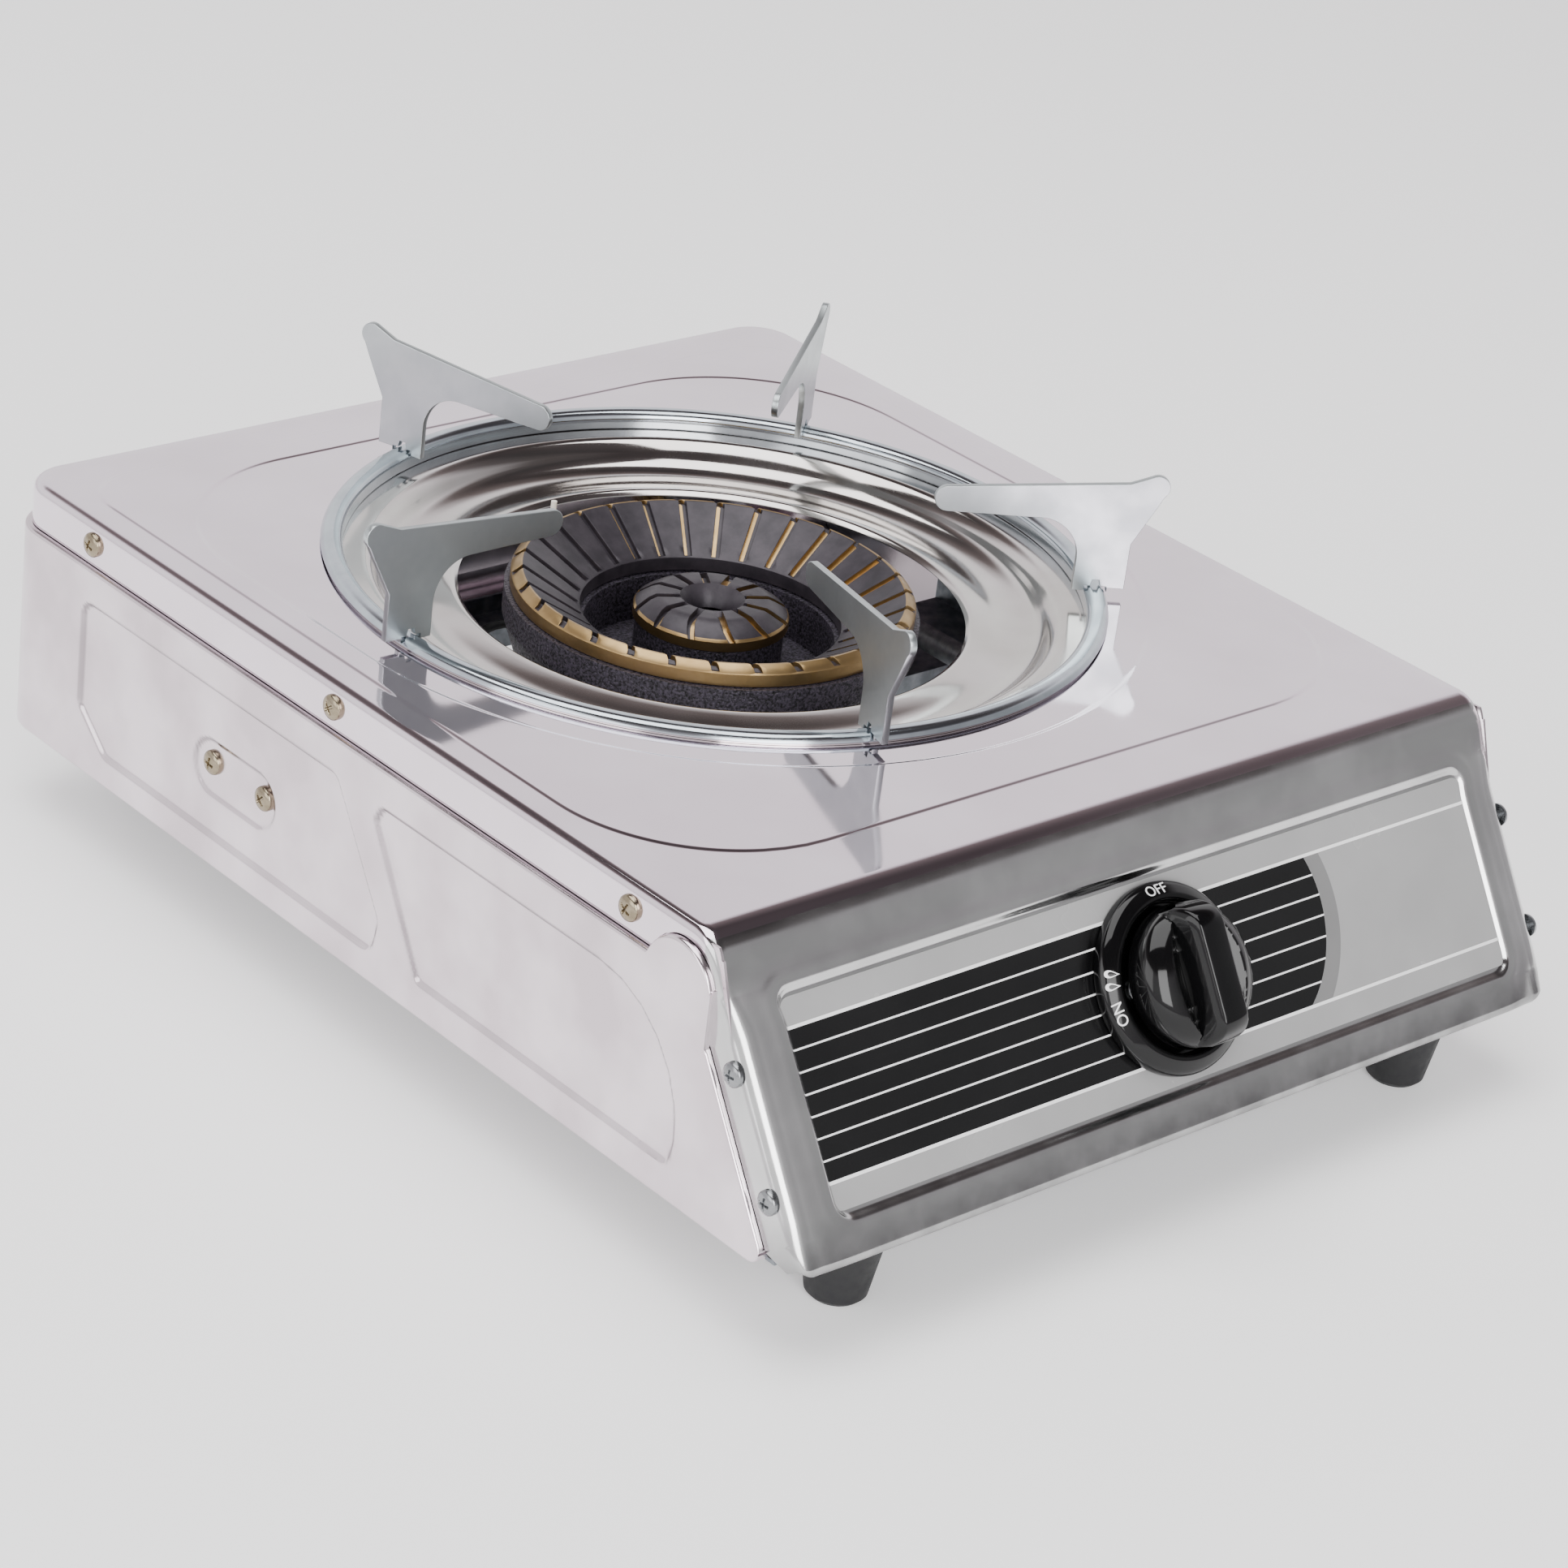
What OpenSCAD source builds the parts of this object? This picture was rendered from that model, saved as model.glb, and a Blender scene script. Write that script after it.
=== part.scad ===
// Single-burner table-top gas stove in pressed stainless sheet.
// X runs to the right, Y to the back, Z up.  The feet stand on Z = 0.

/* [Body] */
// Width over the skirts of the top cover
body_w = 290; // [260:1:340]
// Depth of the flat deck, from the front bend to the back edge
deck_d = 317; // [300:1:370]
// Height of the deck above the table
deck_h = 103.4; // [98:0.1:120]
// Thickness of the pressed sheet
sheet_t = 0.8; // [0.5:0.1:1]
// Depth of the cover's skirt on the sides and the back
skirt_h = 13; // [11:0.5:16]
// How far the walls stand proud of the skirt
wall_proud = 2; // [1.6:0.1:3]
// Height of the bottom edge of the walls
wall_bottom = 25; // [20:0.5:28]
// Radius of the upright corners at the back
corner_r = 14; // [8:1:20]
// Radius along the edges of the deck
edge_r = 3; // [2:0.5:5]
// Width of the bottom flange that stiffens the walls
wall_flange = 13; // [8:1:16]

/* [Front panel] */
// Lean of the front panel from the vertical
front_lean = 33; // [25:1:38]
// How far the front panel's bottom edge ends above the walls' bottom edge
front_lift = 1.2; // [1.1:0.1:3]
// Radius of the bend between deck and front panel
front_bend_r = 11; // [6:1:14]
// Width of the flanges that fold back over the walls
front_flange = 11.5; // [10:0.5:14]
// Depth of the recess that holds the label
recess_depth = 1.2; // [0.8:0.1:1.5]
// Width of the border beside the recess
recess_side = 14; // [12:1:20]
// Distance from the front bend to the top of the recess
recess_top = 18.5; // [16:0.5:22]
// Width of the border below the recess, measured down the slope
recess_base = 14; // [13:0.5:18]

/* [Feet] */
// Radius of a foot where it meets the rail
foot_top_r = 12.5; // [10:0.5:14]
// Radius of a foot where it stands
foot_bottom_r = 8.5; // [7:0.5:10]
// Distance from the centre plane to the feet
foot_x = 108.5; // [95:0.5:112]
// Width of the rails that carry the feet
rail_w = 22; // [18:1:26]

/* [Burner] */
// Distance from the front bend to the burner's axis
burner_y = 169.5; // [160:0.5:190]
// Radius of the outer burner cap
cap_r = 59.5; // [54:0.5:62]
// Radius of the opening in the outer cap
cap_open_r = 38.5; // [34:0.5:40]
// Height of the rim of the outer cap above the deck, negative below it
cap_rise = -3.6; // [-5:0.1:-2]
// Flame slots in the outer cap
cap_slots = 30; // [20:1:40]
// Radius of the inner burner cap
inner_cap_r = 23; // [20:0.5:25]
// Flame slots in the inner cap
inner_slots = 12; // [8:1:16]
// Width of the flame slots
slot_w = 1.4; // [1:0.1:2]
// Distance between the two mixing tubes
tube_pitch = 30; // [29:0.5:32]
// Outer radius of a mixing tube
tube_r = 11; // [9:0.5:12]
// Wall of the burner casting
cast_wall = 3.2; // [2.5:0.1:4]

/* [Drip pan and pan support] */
// Radius of the hole in the deck
deck_hole_r = 111; // [100:0.5:115]
// Radius of the opening in the drip pan
pan_open_r = 75; // [70:0.5:80]
// Width of the lip of the drip pan that lies on the deck
pan_lip = 3.4; // [3:0.1:5]
// Width of the support ring
ring_w = 6.5; // [5:0.5:9]
// Height of the support ring above the deck
ring_rise = 3; // [2.6:0.1:5]
// Number of support arms
arm_count = 5; // [3:1:6]
// Thickness of a support arm
arm_t = 2; // [1.5:0.1:3]
// Height of the pan above the deck where it rests on the arms
arm_rise = 36; // [30:1:45]
// Radius at the inner tip of the arms
arm_tip_r = 61; // [60.7:0.1:66]
// Reach of the arms outside the ring
arm_reach = 14.5; // [10:0.5:20]

/* [Knob and gas valve] */
// How far the knob's axis sits above the middle of the recess
knob_raise = 0.8; // [0:0.1:2]
// Radius of the knob
knob_r = 19.6; // [16:0.1:21]
// Height of the knob's grip above the front panel
knob_h = 24; // [20:0.5:28]
// Width of the grip bar
grip_w = 9; // [7:0.5:11]
// Outer radius of the bezel
bezel_r = 26.4; // [25:0.1:28]
// Travel when the knob is pushed in
push_travel = 4; // [3:0.5:4.5]
// Radius of the valve stem
stem_r = 4; // [3:0.5:4.5]
// Radius of the gas valve's body
valve_r = 12; // [11:0.5:14]

/* [Gas inlet] */
// Distance of the gas inlet from the centre plane
inlet_x = 105; // [90:1:112]
// Gap between the gas pipe and the bracket that it passes over
pipe_clear = 4.8; // [2:0.1:6]
// Outside radius of the hose tail
hose_r = 4.75; // [4:0.05:6]
// Length of the hose tail
hose_len = 18; // [15:1:24]
// Outside radius of the gas pipe
pipe_r = 4; // [3:0.5:4.5]

/* [Fasteners and fits] */
// Radius of a screw head
screw_head_r = 3.7; // [3:0.1:4.2]
// Radius of a screw's thread
screw_r = 1.9; // [1.5:0.1:2.1]
// Gap between neighbouring sheets
sheet_gap = 0.3; // [0.2:0.05:0.4]
// Gap under a loose part that rests on another
rest_gap = 0.1; // [0.05:0.05:0.2]
// Radial clearance of a turning part in its hole
turn_gap = 0.2; // [0.1:0.05:0.3]

/* [Hidden] */
$fn = 64;
tiny = 0.01;
far = 400;

// Front panel
front_bottom = wall_bottom + front_lift;
slope_drop = deck_h - front_bottom;
slope_back = slope_drop * tan(front_lean);
front_len = slope_drop / cos(front_lean);
recess_len = front_len - recess_top - recess_base;
knob_down = recess_top + recess_len / 2 - knob_raise;
front_corner_r = 9;
recess_half = body_w / 2 - recess_side;
recess_r = 5;
recess_floor = -recess_depth;
label_t = 0.4;
label_gap = 1;
label_face = recess_floor + label_t;
relief_r = front_flange + 2.5;
relief_y = relief_r - 7.5;
relief_z = deck_h - relief_r - sheet_t - 2;

// Walls under the cover
wall_half = body_w / 2 + wall_proud;
wall_rear = deck_d + wall_proud;
wall_top = deck_h - skirt_h - sheet_gap;
tuck_half = body_w / 2 - sheet_t - sheet_gap;
tuck_rear = deck_d - sheet_t - sheet_gap;
tuck_top = deck_h - sheet_t - sheet_gap - 1;
tuck_bottom = front_bottom + sheet_t + 0.7;
corner_over = 0.5;
return_w = 24;
rear_half = body_w / 2 - return_w;
rear_lap = 8;

// Heights inside the body
floor_z = wall_bottom + sheet_t;
rail_t = 1.2;
rail_rib = 7;
front_foot_y = slope_y(front_bottom + sheet_t, front_flange) + sheet_gap + rail_w / 2;
rear_foot_y = wall_rear - wall_flange - foot_top_r - 1;

// Screws
screw_head_h = 2.3;
screw_len = 6;
skirt_screw_y = [deck_d - 42, deck_d / 2 - 1, 30];
skirt_screw_z = deck_h - skirt_h / 2;
flange_screw_down = [35, 68];
flange_screw_in = front_flange / 2 - 0.8;
rear_screw_z = [deck_h - 65, deck_h - 30];
rear_screw_x = rear_half + rear_lap / 2;
screw_hole_r = screw_r + 0.2;

// Burner
cap_rim_z = deck_h + cap_rise;
cap_rim_h = 6.2;
cap_seat_z = cap_rim_z - cap_rim_h;
cap_inner_z = cap_rim_z - 10.5;
bowl_r = cap_r + 1.6;
bowl_floor_z = cap_seat_z - 31;
inner_wall_top = cap_inner_z - 5 - rest_gap;
inner_rim_z = cap_rim_z - 5.6;
inner_seat_z = inner_rim_z - 7.5;
tube_z = bowl_floor_z - tube_r - 1.6;
tube_bore_r = tube_r - 2.6;
tube_x = tube_pitch / 2;
bracket_z = bowl_floor_z - 20.6;
bracket_t = 1.2;
bracket_w = 40;
bracket_y = burner_y + 28.5;
bracket_screw_pitch = 25;
bracket_screw_z = bracket_z + 14;
bracket_end_h = 24;
bracket_half = wall_half - sheet_t;

// Drip pan and support
pan_lip_z = deck_h + rest_gap;
pan_wall_r = deck_hole_r - 0.6;
pan_lip_r = deck_hole_r + pan_lip;
ledge_z = deck_h - 2.8;
ring_outer_r = pan_lip_r + 0.7;
ring_inner_r = ring_outer_r - ring_w;
ring_top_z = deck_h + ring_rise;
ring_t = 1;

// Knob and valve; heights are measured outwards from the front panel's face
knob_axis_y = -knob_down * sin(front_lean);
knob_axis_z = deck_h - knob_down * cos(front_lean);
bezel_h = 5.8;
bezel_floor = 1.4;
bezel_bore_r = stem_r + 4.4;
knob_gap = bezel_floor + label_face + 0.4;
knob_base = knob_gap + push_travel;
knob_side_h = 11;
knob_bore_r = stem_r + 0.05;
grip_round = 2.4;
washer_r = bezel_bore_r - 0.8;
washer_t = 1.2;
washer_base = knob_base - washer_t - rest_gap;
panel_back = recess_floor - sheet_t;
valve_flange_r = 20;
valve_flange_t = 2.5;
valve_front = panel_back - valve_flange_t;
valve_depth = 32;
stem_depth = 20;
stem_top = knob_h - 7;
valve_screw_x = (bezel_bore_r + knob_r - 2) / 2 - 0.6;
valve_end_y = knob_axis_y + (valve_depth - valve_front) * cos(front_lean);
valve_end_z = knob_axis_z - (valve_depth - valve_front) * sin(front_lean);
block_half = 23;
block_y = [valve_end_y - 0.5, valve_end_y + 25];
block_z = [min(tube_z - 11, valve_end_z), max(tube_z + 9, valve_end_z)];
jet_r = 5;
jet_len = 17;
tube_mouth_y = block_y[1] + jet_len + 5;
spring_r = stem_r + 1.6;
spring_wire = 0.8;
spring_turns = 2.4;

// Gas inlet
nozzle_y = wall_rear;
hex_r = 9;
hex_t = 5;
stub_r = 6.2;
stub_len = 11;
nut_t = 4;
pipe_bend_r = 14;
pipe_front_y = (block_y[0] + block_y[1]) / 2;
inlet_z = bracket_z + bracket_t + pipe_r + pipe_clear;
rear_most = nozzle_y + hex_t + hose_len;

// The lead from the igniter to the electrode
electrode_angle = 97;
electrode_r = bowl_r + 5;
electrode_x = electrode_r * cos(electrode_angle);
electrode_y = burner_y + electrode_r * sin(electrode_angle);
electrode_base = bowl_floor_z + 7;
ceramic_r = 3;
piezo_x = -block_half - 15;
piezo_z = block_z[0] + 4;
piezo_y = [block_y[0] - 16, block_y[0] + 14];
lead_r = 1.4;
lead_z = bracket_z + 7;
lead_out = bowl_r + 11;
lead_start = [piezo_x, piezo_y[1], piezo_z];
lead_end = [electrode_x, electrode_y, electrode_base];
lead_points = [
    lead_start + [0, 3, 0], lead_start + [0, 9, 0],
    [piezo_x - 6, piezo_y[1] + 40, piezo_z + 2], [-lead_out + 12, burner_y - 70, lead_z - 2],
    [-lead_out, burner_y - 30, lead_z], [-lead_out, burner_y, lead_z],
    [-lead_out + 4, burner_y + 30, lead_z], [-lead_out + 22, burner_y + 58, lead_z + 1],
    [-lead_out + 44, electrode_y + 8, lead_z + 4], [electrode_x - 12, electrode_y + 8, electrode_base - 12],
    lead_end - [0, 0, 9], lead_end - [0, 0, 3]
];

// Where the knob's grip reaches furthest forward
function reach(r, w) = w * cos(front_lean) + r * sin(front_lean);
front_most = knob_axis_y - max(reach(knob_r - 0.3, knob_h - grip_round), reach(knob_r - 0.3 - grip_round, knob_h));
shift_y = -(front_most + rear_most) / 2;

steel = "#d6ced4";
dark_steel = "#8d8f94";
brass = "#b08a4a";
iron = "#2b272b";
black = "#141416";
zinc = "#a6abb0";

// ---- helpers -------------------------------------------------------------

function unit(v) = v / norm(v);
function edge_normal(a, b) = let (u = unit(b - a)) [u[1], -u[0]];
function corner_centre(a, b, c, r) =
    let (u = unit(a - b), v = unit(c - b)) b + unit(u + v) * r / sin(acos(u * v) / 2);

// A convex outline, counterclockwise, with each corner rounded or, at radius 0, sharp,
// drawn inset from its edges
module rounded_outline(points, radii, inset = 0) {
    n = len(points);
    centres = [for (i = [0:n - 1]) corner_centre(points[(i + n - 1) % n], points[i],
        points[(i + 1) % n], max(radii[i], inset))];
    polygon([for (i = [0:n - 1]) each radii[i] > inset ? [
        centres[i] + edge_normal(points[(i + n - 1) % n], points[i]) * (radii[i] - inset),
        centres[i] + edge_normal(points[i], points[(i + 1) % n]) * (radii[i] - inset)]
        : [centres[i]]]);
    for (i = [0:n - 1])
        if (radii[i] > inset) translate(centres[i]) circle(radii[i] - inset);
}

// Moves a part from the bend line's frame to the frame of the whole stove
module place() {
    translate([0, shift_y, 0]) children();
}

// Puts its children on the front panel: x across, y up the slope, z outwards
module on_front() {
    translate([0, 0, deck_h]) rotate([90 - front_lean, 0, 0]) children();
}

module on_knob_axis() {
    on_front() translate([0, -knob_down, 0]) children();
}

module around_burner() {
    translate([0, burner_y, 0]) children();
}

// Extrudes a side view, drawn as (y, z), across the whole width
module across(w) {
    rotate([90, 0, 90]) linear_extrude(w, center = true) children();
}

// A cylinder along X that cuts both sides
module through_x(y, z, r) {
    translate([0, y, z]) rotate([0, 90, 0]) cylinder(r = r, h = far, center = true);
}

// A point on the front plane, moved inwards by d, at height z
function slope_y(z, d) = -(deck_h - z) * tan(front_lean) + d / cos(front_lean);

// A sheet's section: the path and the same path moved sideways by its thickness
function path_normal(p, i) =
    let (n = len(p), a = p[max(i - 1, 0)], b = p[min(i + 1, n - 1)], u = unit(b - a)) [-u[1], u[0]];
function sheet_section(path, t) = concat(path,
    [for (i = [len(path) - 1:-1:0]) path[i] + path_normal(path, i) * t]);

// A pan-head screw that points along -Z, with its head's seat at Z = 0
module screw(len = screw_len) {
    difference() {
        union() {
            translate([0, 0, -len]) cylinder(r = screw_r, h = len + tiny);
            intersection() {
                cylinder(r = screw_head_r, h = screw_head_h);
                translate([0, 0, -screw_head_r * 0.85]) sphere(r = screw_head_r * 1.45);
            }
        }
        for (turn = [0, 90]) rotate([0, 0, turn])
            translate([-screw_head_r * 0.55, -0.4, screw_head_h - 1.1])
                cube([screw_head_r * 1.1, 0.8, 2]);
    }
}

// A tube of radius r swept along a list of points
function ring_frame(p, i) =
    let (n = len(p), t = unit(p[min(i + 1, n - 1)] - p[max(i - 1, 0)]),
         side = unit(cross(t, abs(t[2]) > 0.9 ? [1, 0, 0] : [0, 0, 1])))
    [side, cross(side, t)];
module swept_tube(p, r, sides) {
    n = len(p);
    points = [for (i = [0:n - 1]) let (f = ring_frame(p, i)) for (k = [0:sides - 1])
        p[i] + r * (cos(360 * k / sides) * f[0] + sin(360 * k / sides) * f[1])];
    walls = [for (i = [0:n - 2]) for (k = [0:sides - 1]) let (j = (k + 1) % sides)
        [i * sides + k, i * sides + j, (i + 1) * sides + j, (i + 1) * sides + k]];
    polyhedron(points, concat([[for (k = [sides - 1:-1:0]) k]], walls,
        [[for (k = [0:sides - 1]) (n - 1) * sides + k]]));
}

// A round-ended smooth route through hand-placed points
function smooth_route(p, steps) =
    let (n = len(p))
    concat([for (i = [0:n - 2]) let (a = p[max(i - 1, 0)], b = p[i], c = p[i + 1], d = p[min(i + 2, n - 1)])
        for (k = [0:steps - 1]) let (t = k / steps)
            0.5 * (2 * b + (c - a) * t + (2 * a - 5 * b + 4 * c - d) * t * t
                   + (3 * b - a - 3 * c + d) * t * t * t)], [p[n - 1]]);

// ---- sheet metal body ----------------------------------------------------

// The closed shape whose skin is the top cover and front panel
module cover_solid(inset) {
    intersection() {
        across(body_w) rounded_outline(
            [[-slope_back, front_bottom], [deck_d, front_bottom], [deck_d, deck_h], [0, deck_h]],
            [front_corner_r, edge_r, edge_r, front_bend_r], inset);
        translate([0, far / 2, 0]) rotate([90, 0, 0]) linear_extrude(far * 2, center = true)
            rounded_outline([[-body_w / 2, 0], [body_w / 2, 0], [body_w / 2, deck_h],
                [-body_w / 2, deck_h]], [edge_r, edge_r, edge_r, edge_r], inset);
        linear_extrude(deck_h * 2) rounded_outline(
            [[-body_w / 2, -far], [body_w / 2, -far], [body_w / 2, deck_d], [-body_w / 2, deck_d]],
            [edge_r, edge_r, corner_r, corner_r], inset);
    }
}

// The part of the cover's skin that is really there: deck, skirts and folded front flanges
module cover_keep() {
    translate([-far, -far, deck_h - skirt_h]) cube([2 * far, 2 * far, skirt_h + 1]);
    on_front() translate([-far, -far, -front_flange]) cube([2 * far, 2 * far, front_flange + 1]);
}

// The curved notches where the skirt ends and the front flange begins
module relief_notches(r) {
    difference() {
        through_x(relief_y, relief_z, r);
        cube([body_w - 4 * sheet_t - 4, far * 2, far], center = true);
    }
}

module recess_plate(inset, low, high) {
    translate([0, 0, low]) linear_extrude(high - low) rounded_outline(
        [[-recess_half, -recess_top - recess_len], [recess_half, -recess_top - recess_len],
         [recess_half, -recess_top], [-recess_half, -recess_top]],
        [recess_r, recess_r, recess_r, recess_r], inset);
}

module wall_screw_holes() {
    for (y = skirt_screw_y) through_x(y, skirt_screw_z, screw_hole_r);
    on_front() for (s = flange_screw_down) translate([0, -s, -flange_screw_in])
        rotate([0, 90, 0]) cylinder(r = screw_hole_r, h = far, center = true);
}

module valve_screw_spots() {
    for (side = [-1, 1]) translate([side * valve_screw_x, 0, 0]) children();
}

module top_cover() {
    color(steel) place() difference() {
        union() {
            difference() {
                intersection() {
                    difference() {
                        cover_solid(0);
                        cover_solid(sheet_t);
                    }
                    cover_keep();
                }
                on_front() recess_plate(0, -sheet_t - 1, 1);
            }
            on_front() difference() {
                recess_plate(0, recess_floor - sheet_t, 0);
                recess_plate(sheet_t, recess_floor, 1);
            }
        }
        relief_notches(relief_r);
        around_burner() cylinder(r = deck_hole_r, h = far, $fn = 128);
        wall_screw_holes();
        on_knob_axis() {
            cylinder(r = bezel_bore_r + 0.4, h = 8, center = true);
            valve_screw_spots() cylinder(r = screw_hole_r, h = 8, center = true);
        }
    }
}

// The closed shape whose skin is the three walls
module wall_solid(inset) {
    front_in = front_flange + sheet_gap;
    intersection() {
        across(wall_half * 2) union() {
            rounded_outline([[slope_y(wall_bottom, front_in), wall_bottom], [wall_rear, wall_bottom],
                [wall_rear, wall_top], [slope_y(wall_top, front_in), wall_top]],
                [0, corner_r - 5, 0, 0], inset);
            translate([relief_y, relief_z]) circle(relief_r - sheet_gap - inset);
        }
        linear_extrude(deck_h) rounded_outline([[-wall_half, -far], [wall_half, -far],
            [wall_half, wall_rear + corner_over], [-wall_half, wall_rear + corner_over]],
            [0, 0, corner_r + wall_proud, corner_r + wall_proud], inset);
    }
    tuck_in = sheet_t + sheet_gap;
    intersection() {
        across(tuck_half * 2) rounded_outline(
            [[slope_y(tuck_bottom, tuck_in + 2), tuck_bottom], [tuck_rear, tuck_bottom],
             [tuck_rear, deck_h], [slope_y(deck_h, tuck_in + 2), deck_h]],
            [front_corner_r, 0, 0, 0], inset);
        linear_extrude(deck_h + 1) rounded_outline(
            [[-tuck_half, -far], [tuck_half, -far], [tuck_half, tuck_rear], [-tuck_half, tuck_rear]],
            [0, 0, corner_r - sheet_t - sheet_gap, corner_r - sheet_t - sheet_gap], inset);
    }
}

// The walls' skin, open inside, above and below
module wall_skin() {
    inner_half = tuck_half - sheet_t;
    difference() {
        wall_solid(0);
        wall_solid(sheet_t);
        translate([-far, -far, tuck_top]) cube([2 * far, 3 * far, far]);
        translate([-inner_half, -far, floor_z])
            cube([2 * inner_half, far + relief_y + 2 * relief_r, far]);
        translate([-wall_half + wall_flange, -far, 0])
            cube([2 * (wall_half - wall_flange), far + wall_rear - wall_flange, floor_z + tiny]);
    }
}

module bracket_screw_spots() {
    for (dy = [-1, 1]) translate([0, bracket_y + dy * bracket_screw_pitch / 2, bracket_screw_z])
        children();
}

module rear_screw_holes(r) {
    for (side = [-1, 1]) for (z = rear_screw_z)
        translate([side * rear_screw_x, wall_rear, z]) rotate([90, 0, 0])
            cylinder(r = r, h = 20, center = true);
}

module side_panel(side) {
    difference() {
        intersection() {
            wall_skin();
            translate([side * far / 2, 0, 0]) cube([far, far * 3, far], center = true);
        }
        translate([-rear_half, -far, 0]) cube([2 * rear_half, far * 2, far]);
        wall_screw_holes();
        bracket_screw_spots() rotate([0, 90, 0]) cylinder(r = screw_hole_r, h = far, center = true);
        rear_screw_holes(screw_hole_r);
    }
}

module left_side_panel() {
    color(steel) place() side_panel(-1);
}

module right_side_panel() {
    color(steel) place() side_panel(1);
}

module rear_panel() {
    lap_y = wall_rear - 2 * sheet_t - sheet_gap;
    lap_low = wall_bottom + corner_r - 4;
    lap_h = wall_top - lap_low - 2;
    color(steel) place() difference() {
        union() {
            intersection() {
                wall_skin();
                translate([-rear_half + sheet_gap, wall_rear - wall_flange - 1, 0])
                    cube([2 * (rear_half - sheet_gap), far, far]);
            }
            for (side = [0, 1]) mirror([side, 0, 0]) translate([rear_half - 2, lap_y, lap_low]) {
                cube([rear_lap + 2, sheet_t, lap_h]);
                cube([2 - sheet_gap, sheet_t + sheet_gap + tiny, lap_h]);
            }
        }
        rear_screw_holes(screw_hole_r);
        translate([inlet_x, wall_rear, inlet_z]) rotate([90, 0, 0])
            cylinder(r = stub_r + turn_gap, h = 20, center = true);
    }
}

module foot_rail(y) {
    half = tuck_half - sheet_t - 0.2;
    difference() {
        translate([-half, y - rail_w / 2, floor_z]) cube([2 * half, rail_w, rail_rib]);
        translate([-half - 1, y - rail_w / 2 + rail_t, floor_z + rail_t])
            cube([2 * half + 2, rail_w - 2 * rail_t, rail_rib]);
        for (side = [-1, 1]) translate([side * foot_x, y, floor_z])
            cylinder(r = screw_hole_r, h = 10, center = true);
    }
}

module front_foot_rail() {
    color(dark_steel) place() foot_rail(front_foot_y);
}

module rear_foot_rail() {
    color(dark_steel) place() foot_rail(rear_foot_y);
}

module foot(x, y) {
    lip = 1.5;
    color(black) place() translate([x, y, 0]) difference() {
        rotate_extrude() polygon([[0, 0], [foot_bottom_r - lip, 0], [foot_bottom_r, lip],
            [foot_top_r, floor_z - lip], [foot_top_r, floor_z], [0, floor_z]]);
        translate([0, 0, -1]) cylinder(r = screw_head_r + 0.8, h = 7);
        cylinder(r = screw_hole_r, h = far);
    }
}

module foot_front_left() {
    foot(-foot_x, front_foot_y);
}

module foot_front_right() {
    foot(foot_x, front_foot_y);
}

module foot_rear_left() {
    foot(-foot_x, rear_foot_y);
}

module foot_rear_right() {
    foot(foot_x, rear_foot_y);
}

module foot_screws() {
    color(zinc) place() for (x = [-foot_x, foot_x]) for (y = [front_foot_y, rear_foot_y])
        translate([x, y, 6]) rotate([180, 0, 0]) screw(floor_z - 6 + rail_t + 3);
}

module front_label() {
    color("#bdbdbd") place() difference() {
        on_front() recess_plate(sheet_t + label_gap, recess_floor, label_face);
        on_knob_axis() {
            cylinder(r = bezel_bore_r + 0.4, h = 8, center = true);
            valve_screw_spots() cylinder(r = screw_hole_r, h = 8, center = true);
        }
    }
}

// ---- screws --------------------------------------------------------------

module cover_screws() {
    color("#a99c84") place() for (side = [-1, 1]) for (y = skirt_screw_y)
        translate([side * body_w / 2, y, skirt_screw_z]) rotate([0, side * 90, 0]) screw();
}

module flange_screws() {
    color(zinc) place() on_front() for (side = [-1, 1]) for (s = flange_screw_down)
        translate([side * body_w / 2, -s, -flange_screw_in]) rotate([0, side * 90, 0]) screw();
}

module rear_screws() {
    color(zinc) place() for (side = [-1, 1]) for (z = rear_screw_z)
        translate([side * rear_screw_x, wall_rear, z]) rotate([-90, 0, 0]) screw();
}

module bracket_screws() {
    color("#a99c84") place() bracket_screw_spots() for (side = [-1, 1])
        translate([side * wall_half, 0, 0]) rotate([0, side * 90, 0]) screw();
}

// ---- burner --------------------------------------------------------------

module burner_bracket() {
    color(dark_steel) place() difference() {
        union() {
            translate([-bracket_half, bracket_y - bracket_w / 2, bracket_z])
                cube([2 * bracket_half, bracket_w, bracket_t]);
            for (side = [-1, 1]) translate([side * (bracket_half - bracket_t / 2), bracket_y, bracket_z])
                translate([-bracket_t / 2, -bracket_w / 2, 0]) cube([bracket_t, bracket_w, bracket_end_h]);
            for (dy = [-1, 1]) translate([-bracket_half, bracket_y + dy * (bracket_w / 2 - bracket_t / 2)
                - bracket_t / 2, bracket_z - 5]) cube([2 * bracket_half, bracket_t, 5 + tiny]);
        }
        bracket_screw_spots() rotate([0, 90, 0]) cylinder(r = screw_hole_r, h = far, center = true);
        translate([0, bracket_y, bracket_z]) cylinder(r = screw_hole_r, h = 10, center = true);
    }
}

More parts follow.
